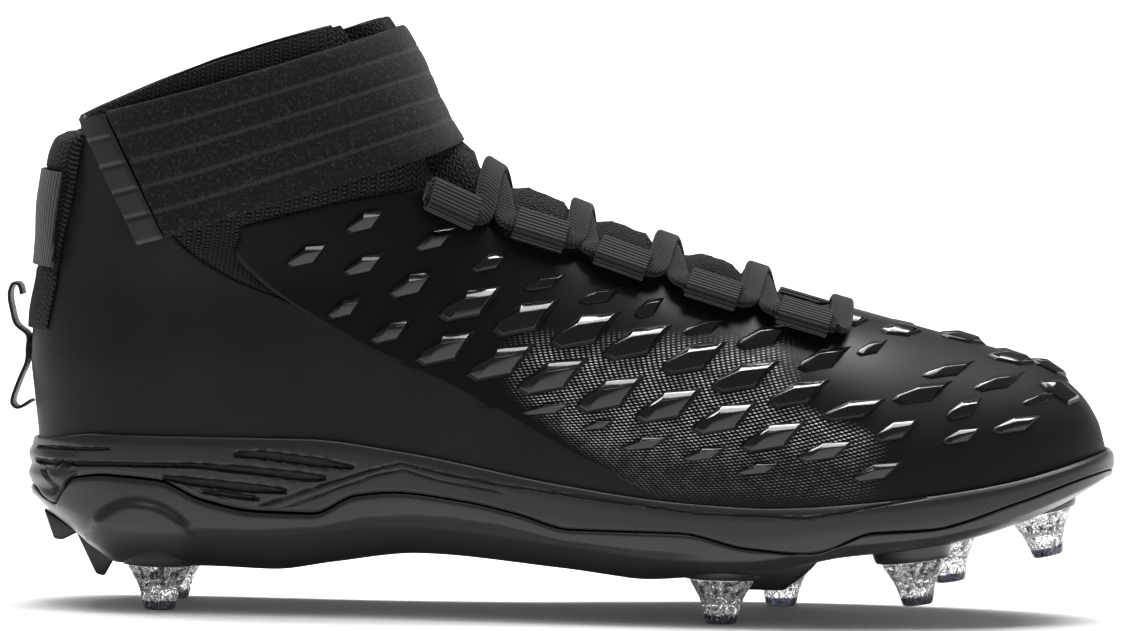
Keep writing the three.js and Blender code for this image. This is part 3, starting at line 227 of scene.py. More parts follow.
def colour_field(label, description, red, green, blue):
    return FloatVectorProperty(name=label, description=description, default=(red, green, blue), min=0.0, max=1.0,
                               size=3, precision=4, subtype="COLOR")


class CleatSizes(bpy.types.PropertyGroup):
    """Sizes of the cleat's dressed pieces and of its studio."""

    upper_wall: length_field("Upper wall", "Thickness of the knit bootie's wall", WALL)
    panel_thickness: length_field("Panel thickness", "Thickness of the heel panel and the shell", SKIN - .1)
    facet_height: length_field("Facet height", "Height of the tallest raised facets over the shell", 2.75)
    tongue_puff: length_field("Tongue puff", "How far the tongue swells up between the laces", 2.7)
    strap_pillow: length_field("Strap pillow", "How far each rib of the strap stands up between its seams", .5)
    strap_seam: length_field("Strap seam", "Height of the stitched seams between the strap's ribs", .42)
    lace_width: length_field("Lace width", "Width of the flat lace", 6.5)
    lace_thickness: length_field("Lace thickness", "Thickness of the flat lace", 2.1)
    webbing_thickness: length_field("Webbing thickness", "Thickness of the lace loops' webbing", 1.2)
    stud_tip: length_field("Stud tip", "Radius of a stud at its tip", 4.3)
    groove_depth: share_field("Groove depth", "Depth of the sidewall's grooves, as a share of the real ones", 1.0)
    camera_distance: length_field("Camera distance", "From the camera to the middle of the shoe", 3000.0)
    key_power: power_field("Key light", "Power of the large softbox over the shoe", 22.0)
    fill_power: power_field("Fill light", "Power of the small softbox over the outer side", 3.0)
    backdrop_power: power_field("Backdrop light", "Power of the strip light on the backdrop", 90.0)
    room_light: share_field("Room light", "Strength of the even light from all round", .26)


class CleatColours(bpy.types.PropertyGroup):
    """Colours of the cleat's materials, each the lightest tone of its pattern."""

    upper_knit: colour_field("Upper knit", "Knit of the bootie and collar", .044, .044, .044)
    lining: colour_field("Lining", "Cloth inside the collar", .014, .014, .014)
    tongue_knit: colour_field("Tongue knit", "Knit of the padded tongue", .036, .036, .036)
    tab_knit: colour_field("Pull tab knit", "Braid of the pull tab", .048, .048, .048)
    heel_panel: colour_field("Heel panel", "Matte panel round the heel", .0066, .0065, .0064)
    shell: colour_field("Shell", "Satin ground of the moulded shell", .0045, .0045, .0045)
    # Pale dots: partly their own colour, partly a painted highlight.
    shell_dots_and_highlight: colour_field("Shell dots", "Woven dots in the shell's mesh", .75, .75, .75)
    facets: colour_field("Facets", "Glossy raised facets", .006, .006, .006)
    strap: colour_field("Strap", "Elastic ankle strap", .0255, .025, .0245)
    grip: colour_field("Grip", "Rubber grip at the strap's end", .0112, .011, .0108)
    sleeve: colour_field("Sleeve", "Woven sleeve round the pull tab", .075, .075, .075)
    ribbon: colour_field("Ribbon", "Narrow ribbon down the heel", .02, .02, .02)
    webbing: colour_field("Webbing", "Ribbed webbing of the lace loops", .026, .026, .026)
    lace: colour_field("Lace", "Braided flat lace", .021, .021, .021)
    foam: colour_field("Foam", "Foam of the midsole", .0122, .012, .0118)
    plate: colour_field("Plate", "Moulded outsole plate", .0152, .015, .0148)
    insole: colour_field("Insole", "Cloth of the insole", .016, .016, .016)
    stud_clear: colour_field("Stud", "Clear plastic of the studs", .97, .97, .97)
    stud_tip: colour_field("Stud tip", "Smoky tip of the studs", .05, .052, .075)
    floor: colour_field("Floor", "Studio floor and backdrop", .9, .9, .9)


def size(key):
    """A size of the sidebar, in millimetres."""
    return getattr(bpy.context.scene.cleat_sizes, key) * 1000


def tone(key, darken=1.0):
    """A colour of the sidebar, darkened to a share of itself."""
    return (*(channel * darken for channel in getattr(bpy.context.scene.cleat_colours, key)), 1.0)


def curve(rows, value=1):
    """A smooth curve through the rows of a table that never overshoots them."""
    x = np.array([row[0] for row in rows], float)
    y = np.array([row[value] for row in rows], float)
    slope = np.diff(y) / np.diff(x)
    before, after = slope[:-1], slope[1:]
    together = np.where(before * after > 0, before + after, 1)
    middle = np.where(before * after > 0, 2 * before * after / together, 0)
    tangent = np.concatenate([slope[:1], middle, slope[-1:]])

    def at(v):
        v = np.asarray(v, float)
        i = np.clip(np.searchsorted(x, v) - 1, 0, len(x) - 2)
        span = x[i + 1] - x[i]
        u = (v - x[i]) / span
        start = y[i] * (1 + 2 * u) * (1 - u) ** 2 + tangent[i] * span * u * (1 - u) ** 2
        end = y[i + 1] * u * u * (3 - 2 * u) + tangent[i + 1] * span * u * u * (u - 1)
        low = y[0] + (v - x[0]) * tangent[0]
        high = y[-1] + (v - x[-1]) * tangent[-1]
        return np.where(v <= x[0], low, np.where(v >= x[-1], high, start + end))

    return at


def lerp(a, b, u):
    return a + (b - a) * u


def smoothstep(v, low, high):
    u = np.clip((np.asarray(v, float) - low) / (high - low), 0, 1)
    return u * u * (3 - 2 * u)


def rounded(u, power):
    return (1 - (1 - np.clip(u, 0, 1)) ** power) ** (1 / power)


def side_line(rows):
    shares = curve(rows)
    return lambda x: STUD_HEIGHT + BODY * shares(np.asarray(x, float) / LENGTH)


def height_line(rows):
    shares = curve(rows)
    return lambda z: LENGTH * shares((np.asarray(z, float) - STUD_HEIGHT) / BODY)


def up_to(share):
    return STUD_HEIGHT + BODY * share


feather_z = side_line(FEATHER)
footbed_z = side_line(FOOTBED)
plate_bottom_z = side_line(PLATE_BOTTOM)
parting_z = side_line(PARTING)
ridge_z = side_line(RIDGE)
shell_top_z = side_line(SHELL_TOP)
heel_x = height_line(HEEL_BACK)
quarter_x = height_line(QUARTER_EDGE)
shell_x = height_line(SHELL_EDGE)
plan_lateral, plan_medial, plan_middle = (curve(PLAN, k) for k in (1, 2, 3))
section_rise, section_turn = curve(SECTION, 1), curve(SECTION, 2)
ankle_width = curve(ANKLE)
throat_half = curve(THROAT)
ring_heel = curve([(i, row[0]) for i, row in enumerate(RINGS)])
ring_front = curve([(i, row[1]) for i, row in enumerate(RINGS)])
sidewall = curve(SIDEWALL)
tab_depth = curve(PULL_TAB)


def middle_y(x):
    return plan_middle(x / LENGTH) * BALL


def plan_width(x, side, heel_end):
    """Half width of the plan at the feather line, with the heel's end at heel_end."""
    share = x / LENGTH
    half = np.where(np.asarray(side) < 0, plan_lateral(share), plan_medial(share))
    heel = rounded((x - heel_end) / (.12 * LENGTH), 2.2)
    toe = rounded((LENGTH - x) / (.31 * LENGTH), 2.15)
    return half * BALL * heel * toe


def half_width(x, z, side):
    """Half width of the upper at a place of the side view."""
    x, z = np.asarray(x, float), np.asarray(z, float)
    share = x / LENGTH
    feather = feather_z(x)
    height = np.clip((z - feather) / np.maximum(ridge_z(x) - feather, 1), 0, 1)
    section = (1 - height ** section_rise(share)) ** (1 / section_turn(share))
    taper = lerp(ankle_width((z - STUD_HEIGHT) / BODY), 1, smoothstep(share, .33, .55))
    below = np.clip((feather - z) / (feather - footbed_z(x)), 0, 1)
    return plan_width(x, side, heel_x(z)) * section * taper * (1 - .1 * below * below)


def on_surface(x, z, side):
    x, z = np.broadcast_arrays(np.asarray(x, float), np.asarray(z, float))
    return np.stack([x, middle_y(x) + side * half_width(x, z, side), z], -1)


def unit(v):
    return v / np.maximum(np.linalg.norm(v, axis=-1, keepdims=True), 1e-9)


def side_normal(x, z, side):
    reach = .5
    p = on_surface(x, z, side)
    ahead = on_surface(np.asarray(x) + reach, z, side) - p
    above = on_surface(x, np.asarray(z) + reach, side) - p
    return unit(np.cross(ahead, above) * -np.asarray(side, float)[..., None])


def solve(test, shape, low=0.0, high=1.0):
    """Where test, true from low on, turns false."""
    low, high = np.full(shape, float(low)), np.full(shape, float(high))
    for _ in range(40):
        mid = (low + high) / 2
        holds = test(mid)
        low, high = np.where(holds, mid, low), np.where(holds, high, mid)
    return low


def ring_place(t, s):
    """A place on ring t in side view, s from the heel's back to the ridge."""
    t, s = np.broadcast_arrays(np.asarray(t, float), np.asarray(s, float))
    level = np.maximum(t, 0)
    heel = up_to(ring_heel(level))
    front = LENGTH * ring_front(level)
    x = lerp(heel_x(heel), front, s)
    straight = lerp(heel, ridge_z(front), s)
    chord = lerp(feather_z(0), feather_z(LENGTH), x / LENGTH)
    sag = (feather_z(x) - chord) * np.clip(1 - level / 6, 0, 1) ** 1.5
    sag = sag * (1 - smoothstep(s, .8, 1) * np.clip(level, 0, 1))
    bow = 4 * s * (1 - s) * COLLAR_RISE * smoothstep(level, COLLAR_RING - 3, COLLAR_RING)
    z = straight + sag * np.clip(s * 12, 0, 1) + bow
    return x, np.where(t < 0, lerp(z, footbed_z(x), -t), z)


def throat_place(t, side):
    t = np.asarray(t, float)

    def wide(s):
        x, z = ring_place(t, s)
        return (s < .5) | (half_width(x, z, side) > throat_half(x / LENGTH) * BALL)

    return solve(wide, t.shape)


def along_ring(t, side, s_from, s_to, shares):
    """Points on ring t between two places, at shares of the arc between them."""
    fine = lerp(s_from, s_to, (1 - np.cos(np.linspace(0, math.pi, 400))) / 2)
    x, z = ring_place(np.full_like(fine, t), fine)
    points = on_surface(x, z, side)
    arc = arc_along(points)
    return np.stack([np.interp(np.asarray(shares) * arc[-1], arc, points[:, k]) for k in range(3)], -1)


def top_z(x, y):
    """Height of the upper over a place in plan."""
    x, y = np.broadcast_arrays(np.asarray(x, float), np.asarray(y, float))
    side = np.where(y < middle_y(x), -1, 1)
    reach = np.abs(y - middle_y(x))
    low, high = feather_z(x), ridge_z(x)
    return lerp(low, high, solve(lambda h: half_width(x, lerp(low, high, h), side) > reach, x.shape))


def top_normal(x, y):
    reach = .5
    slope_x = (top_z(x + reach, y) - top_z(x - reach, y)) / (2 * reach)
    slope_y = (top_z(x, y + reach) - top_z(x, y - reach)) / (2 * reach)
    return unit(np.stack([-slope_x, -slope_y, np.ones_like(slope_x)], -1))


def stud_place(stud):
    _, x, y, lift, _, _ = stud
    return np.array([x * LENGTH, y * BALL, lift * BODY])


def row_shift():
    """From the shoe's own frame to the row frame, read off a stud that both hold."""
    low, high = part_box(STUDS[0][0])
    x, y, _ = stud_place(STUDS[0])
    return np.array([(low.x + high.x) * 500 - x, low.y * 1000 + STUD_TOP - y, 0.0])


SHIFT = row_shift()


def metres(points):
    return (np.asarray(points, float) + SHIFT) * .001


def grid_normals(grid, closed=False):
    """Normals of a grid of points, by differences along and across it."""
    if closed:
        across = np.roll(grid, -1, 1) - np.roll(grid, 1, 1)
    else:
        across = np.gradient(grid, axis=1)
    return unit(np.cross(across, np.gradient(grid, axis=0)))


def arc_lengths(grid, axis):
    steps = np.linalg.norm(np.diff(grid, axis=axis), axis=-1)
    total = np.cumsum(steps, axis=axis)
    pad = [(1, 0) if k == axis else (0, 0) for k in range(2)]
    return np.pad(total, pad)


def arc_along(points):
    """The way along a path up to each of its points."""
    return np.concatenate([[0], np.cumsum(np.linalg.norm(np.diff(points, axis=0), axis=1))])


def select_only(piece):
    bpy.ops.object.select_all(action="DESELECT")
    piece.select_set(True)
    bpy.context.view_layer.objects.active = piece


def add_modifier(piece, kind, **settings):
    """Adds a modifier and applies it."""
    select_only(piece)
    modifier = piece.modifiers.new(kind.title(), kind)
    for key, value in settings.items():
        setattr(modifier, key, value)
    bpy.ops.object.modifier_apply(modifier=modifier.name)


def clean_up(piece, merge=2e-6):
    """Closes seams and poles and turns the normals outward."""
    select_only(piece)
    bpy.ops.object.mode_set(mode="EDIT")
    bpy.ops.mesh.select_all(action="SELECT")
    bpy.ops.mesh.remove_doubles(threshold=merge)
    bpy.ops.mesh.normals_make_consistent(inside=False)
    bpy.ops.object.mode_set(mode="OBJECT")


def smooth(piece, degrees=40):
    select_only(piece)
    bpy.ops.object.shade_smooth_by_angle(angle=math.radians(degrees))


def grid_piece(name, grid, uv=None, attributes=None, keeps=None, wrap=False):
    """A sheet laid over a grid of points in millimetres, from the grid primitive. UVs are in millimetres."""
    if wrap:
        grid = np.concatenate([grid, grid[:, :1]], 1)
        if uv is not None and uv.shape[1] < grid.shape[1]:
            uv = np.concatenate([uv, uv[:, -1:] + (uv[:, -1:] - uv[:, -2:-1])], 1)
    rows, columns = grid.shape[:2]
    if uv is None:
        uv = np.stack([arc_lengths(grid, 1), arc_lengths(grid, 0)], -1)
    bpy.ops.object.select_all(action="DESELECT")
    bpy.ops.mesh.primitive_grid_add(x_subdivisions=columns - 1, y_subdivisions=rows - 1, size=2, calc_uvs=True)
    piece = bpy.context.object
    piece.name = piece.data.name = name
    mesh = piece.data
    flat = np.empty(len(mesh.vertices) * 3)
    mesh.vertices.foreach_get("co", flat)
    flat = flat.reshape(-1, 3)
    column = np.rint((flat[:, 0] + 1) / 2 * (columns - 1)).astype(int)
    row = np.rint((flat[:, 1] + 1) / 2 * (rows - 1)).astype(int)
    mesh.vertices.foreach_set("co", metres(grid[row, column]).ravel())
    corner = np.empty(len(mesh.loops), int)
    mesh.loops.foreach_get("vertex_index", corner)
    mesh.uv_layers[0].data.foreach_set("uv", uv[row[corner], column[corner]].ravel())
    for key, values in (attributes or {}).items():
        layer = mesh.attributes.new(key, "FLOAT", "POINT")
        layer.data.foreach_set("value", np.asarray(values, float)[row, column])
    if keeps is not None:
        build = bmesh.new()
        build.from_mesh(mesh)
        gone = []
        for face in build.faces:
            i = min(row[v.index] for v in face.verts)
            j = min(column[v.index] for v in face.verts)
            if not keeps[i, j]:
                gone.append(face)
        bmesh.ops.delete(build, geom=gone, context="FACES")
        build.to_mesh(mesh)
        build.free()
    mesh.update()
    return piece


def thicken(piece, thickness, rim=.3, segments=2, inner=None):
    """Gives a sheet its thickness inward, in millimetres, with softened rims."""
    select_only(piece)
    bpy.ops.object.mode_set(mode="EDIT")
    bpy.ops.mesh.select_all(action="SELECT")
    bpy.ops.mesh.remove_doubles(threshold=2e-6)
    bpy.ops.object.mode_set(mode="OBJECT")
    settings = {"material_offset": 1, "material_offset_rim": 0} if inner else {}
    add_modifier(piece, "SOLIDIFY", thickness=thickness * .001, offset=-1, **settings)
    if rim:
        add_modifier(piece, "BEVEL", limit_method="ANGLE", angle_limit=math.radians(55), width=rim * .001,
                     segments=segments)


def tube_piece(name, rings, uv=None):
    """A closed body through rings of points, its ends filled."""
    piece = grid_piece(name, rings, uv=uv, wrap=True)
    clean_up(piece)
    build = bmesh.new()
    build.from_mesh(piece.data)
    bmesh.ops.holes_fill(build, edges=[e for e in build.edges if e.is_boundary], sides=0)
    bmesh.ops.recalc_face_normals(build, faces=build.faces)
    build.to_mesh(piece.data)
    build.free()
    return piece


def joined(name, pieces):
    bpy.ops.object.select_all(action="DESELECT")
    for piece in pieces:
        piece.select_set(True)
    bpy.context.view_layer.objects.active = pieces[0]
    if len(pieces) > 1:
        bpy.ops.object.join()
    piece = bpy.context.object
    piece.name = piece.data.name = name
    return piece


def settle(piece, slot, nodes, *materials):
    """Puts a finished piece in the frame in place of its CAD nodes."""
    piece.data.materials.clear()
    for material in materials:
        piece.data.materials.append(material)
    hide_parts(*nodes)
    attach(piece, "root")


# Pattern cells in millimetres.
SHELL_DOT = (1.72, 1.42)
LACE_STRAND = 1.3
STRAP_STITCH = (.62, .5)
STRAP_DASH = 3.1


class Shader:
    """A material under construction: one principled shader with patterns on it."""

    def __init__(self, name, **numbers):
        self.material = bpy.data.materials.new(name)
        self.material.use_nodes = True
        self.tree = self.material.node_tree
        self.tree.nodes.clear()
        self.base = self.tree.nodes.new("ShaderNodeBsdfPrincipled")
        output = self.tree.nodes.new("ShaderNodeOutputMaterial")
        self.tree.links.new(self.base.outputs[0], output.inputs[0])
        for key, value in numbers.items():
            self.base.inputs[key.replace("_", " ")].default_value = value

    def node(self, kind, **settings):
        made = self.tree.nodes.new(kind)
        for key, value in settings.items():
            setattr(made, key, value)
        return made

    def put(self, value, socket):
        if isinstance(value, bpy.types.NodeSocket):
            self.tree.links.new(value, socket)
        else:
            socket.default_value = value

    def math(self, operation, *values):
        made = self.node("ShaderNodeMath", operation=operation)
        for value, socket in zip(values, made.inputs):
            self.put(value, socket)
        return made.outputs[0]

    def uv(self, wide, high):
        """UV in millimetres, counted in cells of that size."""
        parts = self.node("ShaderNodeSeparateXYZ")
        self.tree.links.new(self.node("ShaderNodeUVMap").outputs[0], parts.inputs[0])
        return self.math("DIVIDE", parts.outputs[0], wide), self.math("DIVIDE", parts.outputs[1], high)

    def object_xyz(self):
        parts = self.node("ShaderNodeSeparateXYZ")
        self.tree.links.new(self.node("ShaderNodeTexCoord").outputs["Object"], parts.inputs[0])
        return parts.outputs[0], parts.outputs[1], parts.outputs[2]

    def tri(self, value):
        """0 at whole numbers, 1 halfway between them."""
        away = self.math("ABSOLUTE", self.math("SUBTRACT", self.math("FRACT", value), .5))
        return self.math("SUBTRACT", 1.0, self.math("MULTIPLY", away, 2.0))

    def wave(self, value):
        turned = self.math("SINE", self.math("MULTIPLY", value, 2 * math.pi))
        return self.math("MULTIPLY_ADD", turned, .5, .5)

    def noise(self, scale, detail=2.0, rough=.5):
        made = self.node("ShaderNodeTexNoise")
        self.tree.links.new(self.node("ShaderNodeTexCoord").outputs["Object"], made.inputs["Vector"])
        for key, value in (("Scale", scale), ("Detail", detail), ("Roughness", rough)):
            made.inputs[key].default_value = value
        return made.outputs["Fac"]

    def value(self, name):
        return self.node("ShaderNodeAttribute", attribute_name=name).outputs["Fac"]

    def span(self, value, low, high, to_low=0.0, to_high=1.0, kind="LINEAR"):
        made = self.node("ShaderNodeMapRange", interpolation_type=kind)
        self.put(value, made.inputs[0])
        for socket, number in zip(made.inputs[1:5], (low, high, to_low, to_high)):
            self.put(number, socket)
        return made.outputs[0]

    def blend(self, share, first, second):
        made = self.node("ShaderNodeMix", data_type="RGBA")
        self.put(share, made.inputs[0])
        self.put(first, made.inputs[6])
        self.put(second, made.inputs[7])
        return made.outputs[2]

    def colour(self, share, first, second):
        self.tree.links.new(self.blend(share, first, second), self.base.inputs["Base Color"])

    def rough(self, share, first, second):
        self.tree.links.new(self.span(share, 0.0, 1.0, first, second), self.base.inputs["Roughness"])

    def bump(self, height, depth, strength=1.0, under=None):
        """Relief of that depth in millimetres."""
        made = self.node("ShaderNodeBump")
        made.inputs["Strength"].default_value = strength
        made.inputs["Distance"].default_value = depth * .001
        self.put(height, made.inputs["Height"])
        if under is not None:
            self.tree.links.new(under, made.inputs["Normal"])
        return made.outputs[0]

    def normal(self, bump):
        self.tree.links.new(bump, self.base.inputs["Normal"])
        return self.material


def knit_material(key, wide, high, dark):
    """Knit with legs leaning to either side of each rib, in stitches of that size in millimetres."""
    s = Shader(key, Roughness=.92, Sheen_Weight=.04, Sheen_Roughness=.6, Specular_IOR_Level=.1)
    u, v = s.uv(wide, high)
    lean = s.math("MULTIPLY_ADD", s.tri(u), .9, v)
    legs = s.math("SQRT", s.math("MAXIMUM", s.tri(s.math("MULTIPLY", u, 2.0)), 0.001))
    stitch = s.math("MULTIPLY", legs, s.wave(lean))
    fuzz = s.noise(2600.0, detail=3.0, rough=.7)
    height = s.math("MULTIPLY_ADD", fuzz, .35, stitch)
    patches = s.span(s.noise(60.0), .35, .65, to_low=.75, to_high=1.1)
    # The colour follows the relief as well as random fuzz: the low parts between stitches get painted shade.
    s.colour(s.math("MULTIPLY", s.span(height, .2, 1.2), patches), tone(key, dark), tone(key))
    return s.normal(s.bump(height, .8))


def cloth_material(key, dark, cell):
    """Fine plain weave, its cells in millimetres."""
    s = Shader(key, Roughness=.9, Sheen_Weight=.2, Sheen_Roughness=.5, Specular_IOR_Level=.2)
    u, v = s.uv(cell, cell)
    weave = s.math("MULTIPLY", s.wave(u), s.wave(v))
    height = s.math("MULTIPLY_ADD", s.noise(1800.0, detail=3.0, rough=.7), .8, weave)
    # The colour follows the weave's relief: painted shade between the threads.
    s.colour(s.span(height, .2, 1.3), tone(key, dark), tone(key))
    return s.normal(s.bump(height, .2))


def matte_material():
    """The heel quarter's matte synthetic: fine grain under a soft sheen."""
    s = Shader("matte_panel", Specular_IOR_Level=.22, Sheen_Weight=.02, Sheen_Roughness=.4)
    grain = s.noise(1500.0, detail=4.0, rough=.65)
    broad = s.noise(45.0)
    s.colour(s.span(broad, .3, .7), tone("heel_panel", .62), tone("heel_panel"))
    s.rough(s.span(grain, .3, .7), .55, .68)
    return s.normal(s.bump(grain, .035))


def shell_material():
    """The moulded shell between its facets: satin black with glossy woven dots, pale partly of their own and
    partly as painted highlight, smoother beside the throat.
    """
    s = Shader("shell_satin", Specular_IOR_Level=.13)
    u, v = s.uv(*SHELL_DOT)
    odd = s.math("MODULO", s.math("FLOOR", v), 2.0)
    across = s.math("SUBTRACT", s.math("FRACT", s.math("MULTIPLY_ADD", odd, .5, u)), .5)
    upward = s.math("MULTIPLY", s.math("SUBTRACT", s.math("FRACT", v), .5), 1.25)
    apart = s.math("SQRT", s.math("ADD", s.math("MULTIPLY", across, across), s.math("MULTIPLY", upward, upward)))
    dot = s.span(apart, .38, .2, kind="SMOOTHSTEP")
    zone = s.value("dots")
    dots = s.math("MULTIPLY", dot, zone)
    fleck = s.span(s.noise(380.0), .35, .65, to_low=.35, to_high=1.15)
    ground = s.blend(zone, tone("shell"), tone("shell", .45))
    # The dots are painted pale, partly their own colour and partly a painted highlight of glossy bumps.
    s.colour(s.math("MULTIPLY", dots, fleck), ground, tone("shell_dots_and_highlight"))
    level = s.math("MULTIPLY_ADD", s.value("satin"), .1, s.math("MULTIPLY", s.noise(900.0), .17))
    level = s.math("MULTIPLY_ADD", s.value("toe"), .75, level)
    s.rough(s.math("SUBTRACT", level, s.math("MULTIPLY", dots, .2)), .3, .65)
    return s.normal(s.bump(dots, .3, under=s.bump(s.noise(42.0, detail=1.0), .3, strength=.35)))


def facet_material():
    """The facets: clear-coated black."""
    s = Shader("facet_gloss", Specular_IOR_Level=.3, Coat_Weight=.28, Coat_Roughness=.04, Coat_IOR=1.5)
    flow = s.noise(55.0, detail=1.0)
    s.colour(s.span(s.noise(30.0), .3, .7), tone("facets", .6), tone("facets"))
    s.rough(s.span(s.noise(900.0), .3, .7), .08, .16)
    soft = s.bump(flow, .25, strength=.3)
    s.tree.links.new(soft, s.base.inputs["Coat Normal"])
    return s.normal(soft)


def foam_material(key, dark, roughness):
    """Moulded foam or plastic, with painted shade down in its grooves and on the plate's turned-under band."""
    s = Shader(key, Specular_IOR_Level=.45)
    grain = s.noise(1100.0, detail=3.0, rough=.6)
    broad = s.noise(38.0)
    shade = s.value("shade")
    # Painted shade: the colour goes nearly black in the grooves and on the plate's turned-under band.
    s.colour(shade, s.blend(s.span(broad, .3, .7), tone(key, dark), tone(key)), tone(key, .1))
    s.rough(s.math("MAXIMUM", s.span(grain, .3, .7, to_high=.2), shade), roughness - .05, roughness + .25)
    return s.normal(s.bump(grain, .03))


def ribbed_material(key, cell, dark, depth, along_v=True, roughness=.85):
    """Ribbed webbing: ribs one way, fine threads the other, its cells and depth in millimetres."""
    s = Shader(key, Roughness=roughness, Sheen_Weight=.1, Sheen_Roughness=.45, Specular_IOR_Level=.2)
    u, v = s.uv(cell, cell)
    if not along_v:
        u, v = v, u
    ribs = s.math("POWER", s.wave(v), .7)
    threads = s.wave(s.math("MULTIPLY", u, 2.6))
    height = s.math("ADD", s.math("MULTIPLY_ADD", threads, .22, ribs), s.math("MULTIPLY", s.noise(2500.0), .25))
    # The colour follows the relief: painted shade between the ribs and threads.
    s.colour(s.span(height, .25, 1.3), tone(key, dark), tone(key))
    return s.normal(s.bump(height, depth))


def lace_material():
    """Tubular braid: two sets of strands leaning across each other."""
    s = Shader("lace_braid", Roughness=.9, Sheen_Weight=.1, Sheen_Roughness=.45, Specular_IOR_Level=.15)
    u, v = s.uv(LACE_STRAND, LACE_STRAND)
    one = s.wave(s.math("ADD", u, v))
    two = s.wave(s.math("SUBTRACT", u, v))
    height = s.math("MULTIPLY_ADD", s.noise(2500.0), .3, s.math("MULTIPLY", one, two))
    # The colour follows the braid's relief: painted shade between the strands.
    s.colour(s.span(height, .1, .9), tone("lace", .06), tone("lace"))
    return s.normal(s.bump(height, .22))


def grip_material():
    """Satin rubber with a fine grain."""
    s = Shader("grip_rubber", Specular_IOR_Level=.45)
    grain = s.noise(1300.0, detail=3.0, rough=.6)
    s.colour(s.span(s.noise(60.0), .3, .7), tone("grip", .64), tone("grip"))
    s.rough(s.span(grain, .3, .7), .36, .5)
    return s.normal(s.bump(grain, .03))


def stud_material():
    """Clear crackled plastic, smoky at the tip."""
    s = Shader("clear_stud", Roughness=.04, IOR=1.46, Transmission_Weight=.9, Specular_IOR_Level=.6)
    x, y, z = s.object_xyz()
    stretched = s.node("ShaderNodeCombineXYZ")
    for value, scale, socket in ((x, 1.0, 0), (y, 1.0, 1), (z, .55, 2)):
        s.tree.links.new(s.math("MULTIPLY", value, scale), stretched.inputs[socket])
    crackle = s.node("ShaderNodeTexVoronoi", feature="DISTANCE_TO_EDGE")
    cells = s.node("ShaderNodeTexVoronoi", feature="F1")
    for made, scale in ((crackle, 620.0), (cells, 700.0)):
        s.tree.links.new(stretched.outputs[0], made.inputs["Vector"])
        made.inputs["Scale"].default_value = scale
    level = s.value("rise")
    smoky = s.span(level, 3.0, 2.3, kind="SMOOTHSTEP")
    pick = s.node("ShaderNodeSeparateColor")
    s.tree.links.new(cells.outputs["Color"], pick.inputs[0])
    dark = s.math("MULTIPLY", s.math("GREATER_THAN", pick.outputs[0], .68), s.span(level, 5.5, 8.0))
    clear = s.blend(dark, tone("stud_clear"), tone("stud_clear", .1))
    s.colour(smoky, clear, tone("stud_tip"))
    height = s.math("ADD", s.span(crackle.outputs["Distance"], .0, .12), s.math("MULTIPLY", pick.outputs[1], .7))
    return s.normal(s.bump(height, .35, strength=.8))


def strap_material():
    """Elastic knit with fine specks, and dashes of pale thread along its seams."""
    s = Shader("strap", Roughness=.9, Sheen_Weight=.08, Sheen_Roughness=.5, Specular_IOR_Level=.15)
    u, v = s.uv(*STRAP_STITCH)
    knit = s.math("MULTIPLY", s.wave(u), s.wave(s.math("MULTIPLY_ADD", s.tri(u), .5, v)))
    height = s.math("MULTIPLY_ADD", s.noise(1900.0, detail=3.0, rough=.7), .9, knit)
    dashes = s.span(s.tri(s.uv(STRAP_DASH, STRAP_DASH)[0]), .25, .5, to_low=.35)
    stitched = s.math("MULTIPLY", s.math("MULTIPLY", s.value("seam"), dashes), 3.6)
    specks = s.span(s.noise(1000.0, detail=3.0, rough=.8), .55, .68, to_high=1.7)
    # The low parts of the knit get painted shade; the specks and the pale seam thread are the strap's own.
    level = s.math("ADD", s.math("ADD", s.span(height, .3, 1.4, to_high=.5), specks), stitched)
    s.colour(level, tone("strap", .09), tone("strap"))
    return s.normal(s.bump(height, .14))


def stage_material():
    """White paint that only shows from inside the studio, so that the shoe is seen from behind and below too."""
    s = Shader("studio_white", Base_Color=tone("floor"), Roughness=.95, Specular_IOR_Level=.05)
    pick = s.node("ShaderNodeMixShader")
    output = next(n for n in s.tree.nodes if n.type == "OUTPUT_MATERIAL")
    s.tree.links.new(s.node("ShaderNodeNewGeometry").outputs["Backfacing"], pick.inputs[0])
    s.tree.links.new(s.base.outputs[0], pick.inputs[1])
    s.tree.links.new(s.node("ShaderNodeBsdfTransparent").outputs[0], pick.inputs[2])
    s.tree.links.new(pick.outputs[0], output.inputs[0])
    return s.material


LOOKS = {
    "knit": lambda: knit_material("upper_knit", wide=2.7, high=1.9, dark=.04),
    "lining": lambda: cloth_material("lining", dark=.2, cell=.9),
    "tongue": lambda: knit_material("tongue_knit", wide=2.6, high=1.9, dark=.06),
    "braid": lambda: knit_material("tab_knit", wide=2.4, high=1.35, dark=.07),
    "matte": matte_material,
    "shell": shell_material,
    "facet": facet_material,
    "strap": strap_material,
    "grip": grip_material,
    "sleeve": lambda: ribbed_material("sleeve", cell=.95, dark=.12, depth=.22, along_v=False),
    "ribbon": lambda: ribbed_material("ribbon", cell=.8, dark=.15, depth=.1, roughness=.4),
    "webbing": lambda: ribbed_material("webbing", cell=1.15, dark=.06, depth=.35, along_v=False),
    "lace": lace_material,
    "foam": lambda: foam_material("foam", dark=.75, roughness=.42),
    "plate": lambda: foam_material("plate", dark=.7, roughness=.36),
    "insole": lambda: cloth_material("insole", dark=.25, cell=.8),
    "stud": stud_material,
    "paint": stage_material,
}
made_looks = {}


def look(key):
    """The material of that key, made when it is first asked for."""
    if key not in made_looks:
        made_looks[key] = LOOKS[key]()
    return made_looks[key]


def place_on_ring(t, test):
    """The place on each ring t where test(x, z) stops holding."""
    t = np.asarray(t, float)
    return solve(lambda s: test(*ring_place(t, s)), t.shape)


